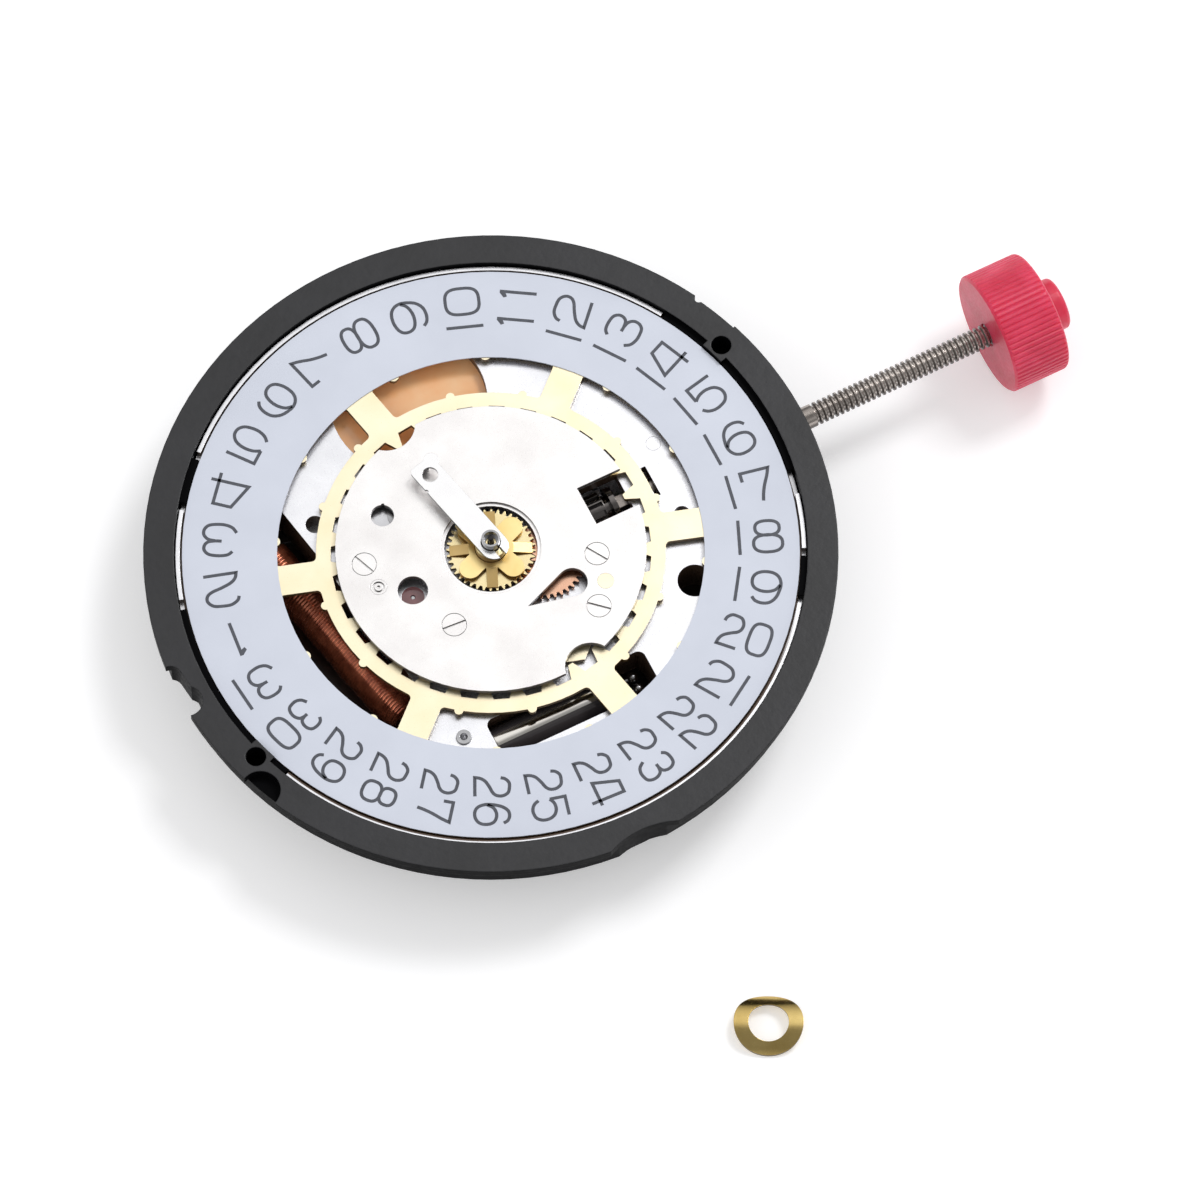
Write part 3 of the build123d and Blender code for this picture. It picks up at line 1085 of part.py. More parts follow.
parts["stator"] = make_stator()
core_top = STATOR_TOP + CORE_T
core = bar(*CORE_ENDS, CORE_W, STATOR_TOP, core_top)
for place in CORE_ENDS:
    core += rod(CORE_END_D, STATOR_TOP, core_top, place)
    core -= rod(SHANK_HOLE_D, STATOR_TOP - CUT_OVER, core_top + CUT_OVER, place)
parts["coil_core"] = core
coil = Pos(*COIL_MIDDLE, COIL_LEVEL) * Rot(0, 0, COIL_TURN) * Rot(0, 90, 0) * Cylinder(COIL_D / 2, COIL_RUN)
parts["coil_winding"] = coil - coil_box(
    COIL_RUN + CUT_OVER, CORE_BORE_W, STATOR_TOP - FIT_GAP, core_top + FIT_GAP
)
parts["coil_screws"] = group(screw(place, STATOR_FOOT - SCREW_HEAD_T, -1, 0) for place in CORE_ENDS)

# Train bridge with its screws and jewels
bridge = slab([share_of(PLATE_R, shares) for shares in BRIDGE_SHARES], BRIDGE_FOOT, BRIDGE_TOP)
jewels = []
for place in (CENTRE, STEP_AT, THIRD_AT, ROTOR_AT):
    bridge -= rod(BRIDGE_JEWEL_D, BRIDGE_FOOT - CUT_OVER, BRIDGE_TOP + CUT_OVER, place)
    jewels.append(tube(BRIDGE_JEWEL_D, PIVOT_D + 2 * FIT_GAP, BRIDGE_FOOT, BRIDGE_TOP, place))
for place in BRIDGE_PLACES:
    bridge -= rod(SHANK_HOLE_D, BRIDGE_FOOT - CUT_OVER, BRIDGE_TOP + CUT_OVER, place)
parts["train_bridge"] = bridge
parts["bridge_jewels"] = group(jewels)
parts["bridge_screws"] = group(
    screw(place, BRIDGE_FOOT - SCREW_HEAD_T, -1, 0) for place in BRIDGE_PLACES
)

# Circuit board, chip and crystal
board = sector(
    PLATE_D * BOARD_OUTER_SHARE, PLATE_D * BOARD_INNER_SHARE, *BOARD_ANGLES, BOARD_FOOT, BOARD_TOP
)
board -= rod(CELL_D + 4 * RUN_GAP, BOARD_FOOT - CUT_OVER, BOARD_TOP + CUT_OVER, CELL_AT)
for place in SCREEN_PLACES + STRAP_PLACES:
    board -= rod(PILLAR_STEP_D + 2 * RUN_GAP, BOARD_FOOT - CUT_OVER, BOARD_TOP + CUT_OVER, place)
parts["circuit_board"] = board
chip_half = CHIP_SIDE / 2
parts["timing_chip"] = block(
    CHIP_AT[0] - chip_half, CHIP_AT[0] + chip_half, (CHIP_AT[1] - chip_half, CHIP_AT[1] + chip_half),
    BOARD_TOP, BOARD_TOP + CHIP_T,
)
can_start, can_end = CAN_AT[0] - CAN_LENGTH / 2, CAN_AT[0] + CAN_LENGTH / 2
can = Pos(CAN_AT[0], CAN_AT[1], CAN_LEVEL) * Rot(0, 90, 0) * Cylinder(CAN_D / 2, CAN_LENGTH)
can = fillet(can.edges().group_by(Axis.X)[0], CAN_ROUND)
parts["crystal_can"] = can
leads = []
for side in (-1 / 2, 1 / 2):
    y = CAN_AT[1] + side * LEAD_SPREAD
    lead = Pos(can_end + LEAD_REACH / 2, y, CAN_LEVEL) * Rot(0, 90, 0) * Cylinder(LEAD_D / 2, LEAD_REACH)
    lead += rod(LEAD_D, BOARD_TOP, CAN_LEVEL, (can_end + LEAD_REACH, y))
    leads.append(lead + Pos(can_end + LEAD_REACH, y, CAN_LEVEL) * Sphere(LEAD_BALL_D / 2))
parts["crystal_leads"] = group(leads)

# Cell with its film, contact leaf and strap
parts["battery_cell"] = rod(CELL_CAP_D, CELL_FOOT, CELL_FOOT + CELL_CAP_H, CELL_AT) + rod(
    CELL_D, CELL_FOOT + CELL_CAP_H, CELL_TOP, CELL_AT
)
contact = bar(CELL_AT, CONTACT_END, CONTACT_W, CONTACT_FOOT, FILM_FOOT)
parts["contact_leaf"] = contact + rod(CONTACT_LEG_D, BOARD_TOP, CONTACT_FOOT, CONTACT_END)
parts["cell_film"] = rod(FILM_D, FILM_FOOT, FILM_TOP, CELL_AT)
strap = bar(*STRAP_PLACES, STRAP_W, STRAP_FOOT, STRAP_FOOT + STRAP_T)
for place in STRAP_PLACES:
    strap -= rod(SHANK_HOLE_D, STRAP_FOOT - CUT_OVER, STRAP_FOOT + STRAP_T + CUT_OVER, place)
parts["cell_strap"] = strap
parts["strap_screws"] = group(screw(place, STRAP_FOOT - SCREW_HEAD_T, -1, 0) for place in STRAP_PLACES)

# Back screen with its flush screws
screen = rod(SCREEN_D, 0, SCREEN_T)
screen -= rod(CELL_D + 4 * RUN_GAP, -CUT_OVER, SCREEN_T + CUT_OVER, CELL_AT)
screen -= bar(*STRAP_PLACES, STRAP_W + 4 * RUN_GAP, -CUT_OVER, SCREEN_T + CUT_OVER)
for place in (STEP_AT, THIRD_AT, ROTOR_AT):
    screen -= rod(BRIDGE_JEWEL_D, -CUT_OVER, SCREEN_T + CUT_OVER, place)
for place in SCREEN_PLACES:
    screen -= rod(SHANK_HOLE_D, -CUT_OVER, SCREEN_T + CUT_OVER, place)
    screen -= rod(SCREW_HEAD_D + 2 * FIT_GAP, -CUT_OVER, SCREW_HEAD_T, place)
parts["back_screen"] = screen
parts["screen_screws"] = group(screw(place, 0, -1, angle) for place, angle in
                               zip(SCREEN_PLACES, SCREEN_PILLAR_ANGLES))

# The tubular pin in the main plate
pin_foot, pin_top = PLATE_TOP - STUD_SEAT, PLATE_TOP + TRACK_H
parts["plate_pin"] = tube(TUBE_PIN_D, TUBE_PIN_D / 2, pin_foot, pin_top, TUBE_PIN_AT)


# Stem: pilot square, shoulder, groove for the setting lever and a long thread
def make_stem():
    radius, root = STEM_D / 2, STEM_D / 2 - THREAD_DEPTH
    profile = [(SQUARE_END, 0), (SQUARE_END, radius)]
    for x, r in (
        (GROOVE_START, radius), (GROOVE_START, GROOVE_D / 2),
        (GROOVE_START + GROOVE_W, GROOVE_D / 2), (GROOVE_START + GROOVE_W, radius),
        (THREAD_START, radius),
    ):
        profile.append((x, r))
    turns = round((THREAD_END - THREAD_START) / THREAD_PITCH)
    pitch = (THREAD_END - THREAD_START) / turns
    for n in range(turns):
        start = THREAD_START + n * pitch
        profile += [(start + pitch * THREAD_FLANK_SHARE, root), (start + pitch / 2, root),
                    (start + pitch / 2 + pitch * THREAD_FLANK_SHARE, radius), (start + pitch, radius)]
    profile.append((THREAD_END, 0))
    half = SQUARE_SIDE / 2
    square = block(STEM_START, SQUARE_END + RUN_GAP, (-half, half), STEM_LEVEL - half, STEM_LEVEL + half)
    return along_x(profile) + square


parts["stem"] = make_stem()


# Sliding pinion: ribbed end, groove for the yoke, collar, square bore on the stem
def make_sliding_pinion():
    radius, end = PINION_D / 2, PINION_START + PINION_LENGTH
    groove_start = PINION_START + PINION_GROOVE_AT
    groove_end = groove_start + PINION_GROOVE_W
    pinion = along_x([
        (PINION_START, 0), (PINION_START, radius), (groove_start, radius),
        (groove_start, PINION_GROOVE_D / 2), (groove_end, PINION_GROOVE_D / 2), (groove_end, radius),
        (end, radius), (end, 0),
    ])
    cuts = []
    for n in range(PINION_TEETH):
        gap_w = math.pi * PINION_D / PINION_TEETH / 2
        cut = Box(PINION_GROOVE_AT, gap_w, 2 * PINION_TOOTH_DEPTH)
        middle = Pos(PINION_START + PINION_GROOVE_AT / 2 - RUN_GAP, 0, STEM_LEVEL)
        cuts.append(middle * Rot(360 * n / PINION_TEETH, 0, 0) * Pos(0, 0, radius) * cut)
    pinion -= cuts
    half = SQUARE_SIDE / 2 + FIT_GAP
    return pinion - block(PINION_START - CUT_OVER, end + CUT_OVER, (-half, half),
                          STEM_LEVEL - half, STEM_LEVEL + half)


parts["sliding_pinion"] = make_sliding_pinion()


# Crown: a fluted drum with a boss, rounded on its outer edge
def make_crown():
    radius, boss = CROWN_D / 2, CROWN_BOSS_D / 2
    end = CROWN_START + CROWN_LENGTH
    body = along_x([
        (CROWN_START, 0), (CROWN_START, radius - CROWN_CHAMFER), (CROWN_START + CROWN_CHAMFER, radius),
        (end, radius), (end, boss), (end + CROWN_BOSS_LENGTH, boss), (end + CROWN_BOSS_LENGTH, 0),
    ])
    rims = body.edges().filter_by(GeomType.CIRCLE).filter_by(
        lambda edge: edge.center().X > end - RUN_GAP and not (
            abs(edge.center().X - end) < RUN_GAP and abs(edge.radius - boss) < RUN_GAP
        )
    )
    body = fillet(rims, CROWN_ROUND)
    outline = []
    for n in range(CROWN_FLUTES):
        for r, share in (
            (radius, 0), (radius, FLUTE_LAND_SHARE),
            (radius - CROWN_FLUTE_DEPTH, (1 + FLUTE_LAND_SHARE) / 2),
        ):
            y, z = polar(r, 360 * (n + share) / CROWN_FLUTES)
            outline.append((CROWN_START - CUT_OVER, y, STEM_LEVEL + z))
    face = make_face(Polyline(*outline, close=True))
    fluted = extrude(face, amount=CROWN_LENGTH + CROWN_BOSS_LENGTH + 2 * CUT_OVER, dir=(1, 0, 0))
    return (body & fluted) - x_rod(STEM_D + 2 * FIT_GAP, CROWN_START - CUT_OVER, THREAD_END + RUN_GAP)


parts["crown"] = make_crown()


# Setting lever: a nose in the stem's groove and a toe behind the yoke
def make_lever():
    toe = (LEVER_PIVOT[0], LEVER_PIVOT[1] + LEVER_TOE_REACH)
    lever = bar(LEVER_PIVOT, LEVER_NOSE, LEVER_W, LEVER_FOOT, LEVER_TOP)
    lever += bar(LEVER_PIVOT, toe, LEVER_W, LEVER_FOOT, LEVER_TOP)
    lever += rod(LEVER_HUB_D, LEVER_TOP - LEVER_HUB_H, LEVER_TOP, LEVER_PIVOT)
    return lever - rod(PIVOT_PIN_D + RUN_GAP, LEVER_FOOT - LEVER_HUB_H, LEVER_TOP + CUT_OVER, LEVER_PIVOT)


parts["setting_lever"] = make_lever()
parts["setting_lever_pin"] = rod(
    PIVOT_PIN_D, LEVER_TOP - LEVER_HUB_H, PLATE_TOP, LEVER_PIVOT
) + rod(LEVER_PIN_HEAD_D, PLATE_TOP - LEVER_PIN_HEAD_T, PLATE_TOP, LEVER_PIVOT)


# Yoke: a plate on two guide pins with a tip in the sliding pinion's groove
def make_yoke():
    sides = (YOKE_AT - YOKE_W / 2, YOKE_AT + YOKE_W / 2)
    yoke = block(YOKE_START, YOKE_END, sides, LEVER_FOOT, LEVER_TOP)
    tip_middle = PINION_START + PINION_GROOVE_AT + PINION_GROOVE_W / 2
    yoke += block(tip_middle - YOKE_TIP_W / 2, tip_middle + YOKE_TIP_W / 2, (YOKE_TIP_REACH, YOKE_AT),
                  LEVER_FOOT, LEVER_TOP)
    for x, y in GUIDE_PLACES:
        yoke -= bar((x, y), (x + YOKE_TRAVEL, y), GUIDE_D + 2 * FIT_GAP, LEVER_FOOT - CUT_OVER,
                    LEVER_TOP + CUT_OVER)
    return yoke


parts["yoke"] = make_yoke()
parts["yoke_guide_pins"] = group(
    rod(GUIDE_D, LEVER_FOOT - RUN_GAP, KEY_POCKET_TOP + GUIDE_SEAT, place) for place in GUIDE_PLACES
)
detent_tip = (LEVER_PIVOT[0] + LEVER_HUB_D / 2 + DETENT_PLAY + DETENT_W / 2, LEVER_PIVOT[1])
detent_foot = DETENT_TOP - DETENT_T
detent = rod(DETENT_PAD_D, detent_foot, DETENT_TOP, DETENT_FOOT_AT)
detent += bar(DETENT_FOOT_AT, detent_tip, DETENT_W, detent_foot, DETENT_TOP)
parts["detent_spring"] = detent + rod(DETENT_PIN_D, DETENT_TOP, DETENT_TOP + DETENT_PIN_H, DETENT_FOOT_AT)


# Dial washer: a thin flat ring bent round a cylinder, lying beside the movement on its ends
def make_washer():
    def bent_outline(radius, low, high):
        points = []
        for n in range(WASHER_POINTS):
            x, y = polar(radius, 360 * n / WASHER_POINTS)
            points.append((x, WASHER_BEND_R * math.sin(y / WASHER_BEND_R)))
        return slab(points, low, high)

    length = 2 * WASHER_OD
    sheet = Cylinder(WASHER_BEND_R + WASHER_T, length) - Cylinder(WASHER_BEND_R, length + CUT_OVER)
    drop = WASHER_BEND_R * math.cos(WASHER_OD / 2 / WASHER_BEND_R)
    washer = Pos(0, 0, -drop) * Rot(0, 90, 0) * sheet & bent_outline(WASHER_OD / 2, 0, WASHER_OD)
    washer -= bent_outline(WASHER_ID / 2, -CUT_OVER, WASHER_OD)
    return Pos(*WASHER_AT, 0) * Rot(0, 0, WASHER_TURN) * washer


parts["dial_washer"] = make_washer()

os.makedirs("parts", exist_ok=True)
for name, shape in parts.items():
    export_step(shape, f"parts/{name}.step")
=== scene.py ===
import math

import bpy
from mathutils import Matrix, Vector


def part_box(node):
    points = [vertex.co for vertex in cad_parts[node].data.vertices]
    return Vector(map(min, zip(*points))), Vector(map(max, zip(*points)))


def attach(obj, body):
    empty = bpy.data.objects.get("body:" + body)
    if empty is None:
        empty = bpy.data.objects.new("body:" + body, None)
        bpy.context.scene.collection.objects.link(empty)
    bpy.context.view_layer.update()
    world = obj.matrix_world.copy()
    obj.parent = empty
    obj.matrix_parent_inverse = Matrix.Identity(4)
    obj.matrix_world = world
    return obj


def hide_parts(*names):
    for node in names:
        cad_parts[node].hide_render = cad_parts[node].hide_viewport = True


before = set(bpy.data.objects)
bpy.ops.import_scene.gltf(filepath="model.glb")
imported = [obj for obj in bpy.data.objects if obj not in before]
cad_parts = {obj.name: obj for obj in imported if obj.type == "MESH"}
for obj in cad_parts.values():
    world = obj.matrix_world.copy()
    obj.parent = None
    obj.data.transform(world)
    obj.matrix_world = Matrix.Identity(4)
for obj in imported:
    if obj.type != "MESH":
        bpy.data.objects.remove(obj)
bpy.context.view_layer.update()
MM = 0.001

# The camera, matched to the photograph, with its places in mm and in the photograph's pixels

PHOTO_SIZE = 1200
PHOTO_CENTRE = PHOTO_SIZE / 2
SENSOR_WIDTH = 36
NEAR_CLIP, FAR_CLIP = 0.01, 10
ELEVATION = math.radians(66.57)
ROLL = math.radians(0.70)
TURN = math.radians(27.45)
DISTANCE = 344.7
FOCAL_PIXELS = 9214
AIM_PIXEL = (490.94, 550.92)
AIM_LEVEL = 3.9


def make_camera():
    """Places the camera and returns its right, up and back axes."""
    back = Vector((0, -math.cos(ELEVATION), math.sin(ELEVATION)))
    right = Vector((1, 0, 0))
    up = back.cross(right)
    right, up = (
        math.cos(ROLL) * right + math.sin(ROLL) * up,
        math.cos(ROLL) * up - math.sin(ROLL) * right,
    )
    across, down = ((pixel - PHOTO_CENTRE) / FOCAL_PIXELS for pixel in AIM_PIXEL)
    seen = Vector((across, -down, -1)) * DISTANCE
    place = -(right * seen.x + up * seen.y + back * seen.z)
    turn = Matrix.Rotation(-TURN, 3, "Z")
    axes = [turn @ v for v in (right, up, back)]
    place = turn @ place + Vector((0, 0, AIM_LEVEL))
    matrix = Matrix.Identity(4)
    for column, axis in enumerate(axes):
        for row in range(3):
            matrix[row][column] = axis[row]
    for row in range(3):
        matrix[row][3] = place[row] * MM
    data = bpy.data.cameras.new("camera")
    data.sensor_width = SENSOR_WIDTH
    data.lens = SENSOR_WIDTH * FOCAL_PIXELS / PHOTO_SIZE
    data.clip_start = NEAR_CLIP
    data.clip_end = FAR_CLIP
    camera = bpy.data.objects.new("camera", data)
    camera.matrix_world = matrix
    bpy.context.scene.collection.objects.link(camera)
    bpy.context.scene.camera = camera
    return axes


view_axes = make_camera()

# Materials


def linear(r, g, b):
    """A colour from 0-255 screen values to the shader's linear values."""
    def one(v):
        v = v / 255
        return v / 12.92 if v <= 0.04045 else ((v + 0.055) / 1.055) ** 2.4
    return (one(r), one(g), one(b), 1)


# A face counts as a wall below the first value of its normal's rise and as level above the second; walls
# can take a painted shade colour
STEEP_RANGE = (0.2, 0.5)
WALL_METALLIC = 0.25
PATCH_STOPS = (0.3, 0.7)
NOISE_ROUGHNESS = 0.55
BEVEL_SAMPLES = 4

# The ring's shine below and above the fade from its claws to its top, in mm up the axis
CLAW_FADE = (3.9, 4.0)
CLAW_SHINE = (0.02, 0.5)

# Painted shade on the plate: a dark line in the gap round the date ring, in mm from the axis, and its wider
# stretch towards one side, in degrees and mm
GAP_SHADE_INNER = (11.3, 11.35)
GAP_SHADE_OUTER = (11.63, 11.65)
SIDE_SHADE_OUTER = (11.69, 11.71)
SIDE_SHADE_ANGLE = -112
SIDE_SHADE_FADE = (3.0, 6.0)


def math_node(tree, operation, first, second=0):
    """One step of reckoning on numbers or sockets."""
    node = tree.nodes.new("ShaderNodeMath")
    node.operation = operation
    for socket, value in zip(node.inputs, (first, second)):
        if isinstance(value, (int, float)):
            socket.default_value = value
        else:
            tree.links.new(value, socket)
    return node.outputs[0]


class Maker:
    """Builds one material's nodes. Sizes are in mm."""

    def __init__(self, name):
        self.mat = bpy.data.materials.new(name)
        self.mat.use_nodes = True
        self.tree = self.mat.node_tree
        self.tree.nodes.clear()
        self.out = self.tree.nodes.new("ShaderNodeOutputMaterial")
        self.shader = self.tree.nodes.new("ShaderNodeBsdfPrincipled")
        self.link(self.shader.outputs[0], self.out.inputs["Surface"])
        self.coords = self.tree.nodes.new("ShaderNodeTexCoord")

    def link(self, a, b):
        self.tree.links.new(a, b)

    def set(self, **values):
        """Plain values for the shader's inputs, named with an underscore for each space."""
        for key, value in values.items():
            self.shader.inputs[key.replace("_", " ")].default_value = value

    def noise(self, size, detail=3, stretch=(1, 1, 1), distortion=0):
        """Noise in the part's own frame, with patches of about the given size."""
        mapping = self.tree.nodes.new("ShaderNodeMapping")
        mapping.inputs["Scale"].default_value = stretch
        self.link(self.coords.outputs["Object"], mapping.inputs["Vector"])
        node = self.tree.nodes.new("ShaderNodeTexNoise")
        node.inputs["Scale"].default_value = 1 / (size * MM)
        node.inputs["Detail"].default_value = detail
        node.inputs["Roughness"].default_value = NOISE_ROUGHNESS
        node.inputs["Distortion"].default_value = distortion
        self.link(mapping.outputs[0], node.inputs["Vector"])
        return node.outputs["Fac"]

    def patches(self, value, low, high):
        """A colour that wanders between two."""
        node = self.tree.nodes.new("ShaderNodeValToRGB")
        for element, stop, colour in zip(node.color_ramp.elements, PATCH_STOPS, (low, high)):
            element.position = stop
            element.color = colour
        self.link(value, node.inputs["Fac"])
        return node.outputs["Color"]

    def spread(self, value, low, high, start=0.25, end=0.75):
        """Goes from low to high while the value goes from start to end."""
        node = self.tree.nodes.new("ShaderNodeMapRange")
        node.inputs["From Min"].default_value = start
        node.inputs["From Max"].default_value = end
        node.inputs["To Min"].default_value = low
        node.inputs["To Max"].default_value = high
        self.link(value, node.inputs["Value"])
        return node.outputs["Result"]

    def mixed(self, share, first, second):
        """Mixes two colours, each a plain one or a socket."""
        node = self.tree.nodes.new("ShaderNodeMix")
        node.data_type = "RGBA"
        self.link(share, node.inputs["Factor"])
        for socket, colour in ((node.inputs["A"], first), (node.inputs["B"], second)):
            if isinstance(colour, tuple):
                socket.default_value = colour
            else:
                self.link(colour, socket)
        return node.outputs["Result"]

    def steepness(self, steep=STEEP_RANGE):
        """Zero on level faces and one on upright ones."""
        face = self.tree.nodes.new("ShaderNodeNewGeometry")
        split = self.tree.nodes.new("ShaderNodeSeparateXYZ")
        self.link(face.outputs["True Normal"], split.inputs[0])
        level = math_node(self.tree, "ABSOLUTE", split.outputs["Z"])
        return self.spread(level, 1, 0, *steep)

    def above(self, low, high):
        """Zero below the first height and one above the second."""
        split = self.tree.nodes.new("ShaderNodeSeparateXYZ")
        self.link(self.coords.outputs["Object"], split.inputs[0])
        return self.spread(split.outputs["Z"], 0, 1, low * MM, high * MM)

    def outside(self, low, high):
        """Zero within the first distance from the part's axis and one beyond the second."""
        flat = self.tree.nodes.new("ShaderNodeVectorMath")
        flat.operation = "MULTIPLY"
        flat.inputs[1].default_value = (1, 1, 0)
        self.link(self.coords.outputs["Object"], flat.inputs[0])
        length = self.tree.nodes.new("ShaderNodeVectorMath")
        length.operation = "LENGTH"
        self.link(flat.outputs[0], length.inputs[0])
        return self.spread(length.outputs["Value"], 0, 1, low * MM, high * MM)

    def toward(self, angle, near, far):
        """Zero up to the first distance from the axis in one direction, one past the second."""
        angle = math.radians(angle)
        node = self.tree.nodes.new("ShaderNodeVectorMath")
        node.operation = "DOT_PRODUCT"
        node.inputs[1].default_value = (math.cos(angle), math.sin(angle), 0)
        self.link(self.coords.outputs["Object"], node.inputs[0])
        return self.spread(node.outputs["Value"], 0, 1, near * MM, far * MM)

    def flip(self, value):
        return self.spread(value, 1, 0, 0, 1)

    def both(self, first, second):
        return math_node(self.tree, "MULTIPLY", first, second)

    def colour(self, base):
        self.link(base, self.shader.inputs["Base Color"])

    def surface(self, fine, rough, depth=0, edge=0):
        """Roughness and fine bumps from one noise, over softened edges."""
        self.link(self.spread(fine, *rough), self.shader.inputs["Roughness"])
        if not depth:
            return
        bump = self.tree.nodes.new("ShaderNodeBump")
        bump.inputs["Distance"].default_value = depth * MM
        bump.inputs["Strength"].default_value = 1
        self.link(fine, bump.inputs["Height"])
        if edge:
            bevel = self.tree.nodes.new("ShaderNodeBevel")
            bevel.samples = BEVEL_SAMPLES
            bevel.inputs["Radius"].default_value = edge * MM
            self.link(bevel.outputs[0], bump.inputs["Normal"])
        self.link(bump.outputs[0], self.shader.inputs["Normal"])


def metal(name, low, high, rough=(0.2, 0.32), grain=0.05, depth=0.0006, edge=0.03, stretch=(1, 1, 1),
          patch=2.0, wall_shade=None, steep=STEEP_RANGE):
    """A metal that wanders between two colours, with a painted shade colour on its walls where one is
    given.
    """
    m = Maker(name)
    m.set(Metallic=1.0)
    base = m.patches(m.noise(patch, detail=4), low, high)
    if wall_shade:
        # Painted shade on upright faces
        base = m.mixed(m.steepness(steep), base, wall_shade)
        m.link(m.spread(m.steepness(steep), 1, WALL_METALLIC, 0, 1), m.shader.inputs["Metallic"])
    m.colour(base)
    m.surface(m.noise(grain, stretch=stretch), rough, depth, edge)
    return m.mat


def plastic(name, low, high, rough, grain, depth, edge, patch=1.5, detail=4, **values):
    """A plastic or paint that wanders between two colours."""
    m = Maker(name)
    m.set(**values)
    m.colour(m.patches(m.noise(patch, detail), low, high))
    m.surface(m.noise(grain, detail), rough, depth, edge)
    return m.mat


def ring_material():
    """Black plastic, darker and less shiny on the claws, with painted shade on its walls."""
    m = Maker("ring_plastic")
    top = m.both(m.above(*CLAW_FADE), m.flip(m.steepness()))
    undarkened = m.patches(m.noise(size=2.5, detail=4), linear(20, 20, 23), linear(32, 32, 36))
    # The darker colour is painted shade on the walls, and it also darkens the claws below the fade
    darker_walls_and_claws = linear(9, 9, 11)
    m.colour(m.mixed(top, darker_walls_and_claws, undarkened))
    m.link(m.spread(top, *CLAW_SHINE, 0, 1), m.shader.inputs["Specular IOR Level"])
    m.surface(m.noise(size=0.25, detail=4), rough=(0.28, 0.44), depth=0.006, edge=0.06)
    return m.mat


def plate_material():
    """Bright nickel with painted shade on its cut walls and a painted shade line in the gap round the date
    ring, wider towards one side.
    """
    m = Maker("plate_nickel")
    inner = m.outside(*GAP_SHADE_INNER)
    # Painted shade in the gap round the date ring, wider towards one side
    gap_shade = m.both(inner, m.flip(m.outside(*GAP_SHADE_OUTER)))
    side_shade = m.both(m.both(inner, m.flip(m.outside(*SIDE_SHADE_OUTER))), m.toward(SIDE_SHADE_ANGLE, *SIDE_SHADE_FADE))
    undarkened = m.both(m.both(m.flip(gap_shade), m.flip(side_shade)), m.flip(m.steepness()))
    bright = m.patches(m.noise(size=2.0, detail=4), linear(228, 228, 232), linear(246, 246, 249))
    # The painted shade colour for the walls and for the line round the date ring
    dark = linear(84, 66, 54)
    m.colour(m.mixed(undarkened, dark, bright))
    m.link(m.spread(undarkened, WALL_METALLIC, 1, 0, 1), m.shader.inputs["Metallic"])
    m.surface(m.noise(size=0.06), rough=(0.24, 0.36), depth=0.001, edge=0.02)
    return m.mat


def ink_material():
    m = Maker("number_ink")
    m.colour(m.patches(m.noise(size=0.3), linear(66, 69, 78), linear(80, 83, 92)))
    m.surface(m.noise(size=0.1, detail=2), rough=(0.4, 0.55))
    return m.mat


def crown_material():
    """Red plastic that lets some light through."""
    m = Maker("crown_red")
    m.set(Subsurface_Weight=0.6, Subsurface_Scale=0.9 * MM, Subsurface_Radius=(1.0, 0.16, 0.22),
          Coat_Weight=0.15, Coat_Roughness=0.25)
    streaks = m.noise(size=1.4, detail=4, distortion=0.6)
    m.colour(m.patches(streaks, linear(204, 30, 68), linear(226, 62, 98)))
    m.surface(m.noise(size=0.12, detail=4), rough=(0.34, 0.5), depth=0.004, edge=0.05)
    return m.mat


def copper_material():
    """Copper wire under clear enamel."""
    m = Maker("copper_wire")
    m.set(Metallic=0.75, Coat_Weight=0.4, Coat_Roughness=0.2)
    m.colour(m.patches(m.noise(size=0.35, detail=4), linear(150, 72, 48), linear(226, 134, 98)))
    m.surface(m.noise(size=0.08), rough=(0.14, 0.28), depth=0.002)
    return m.mat
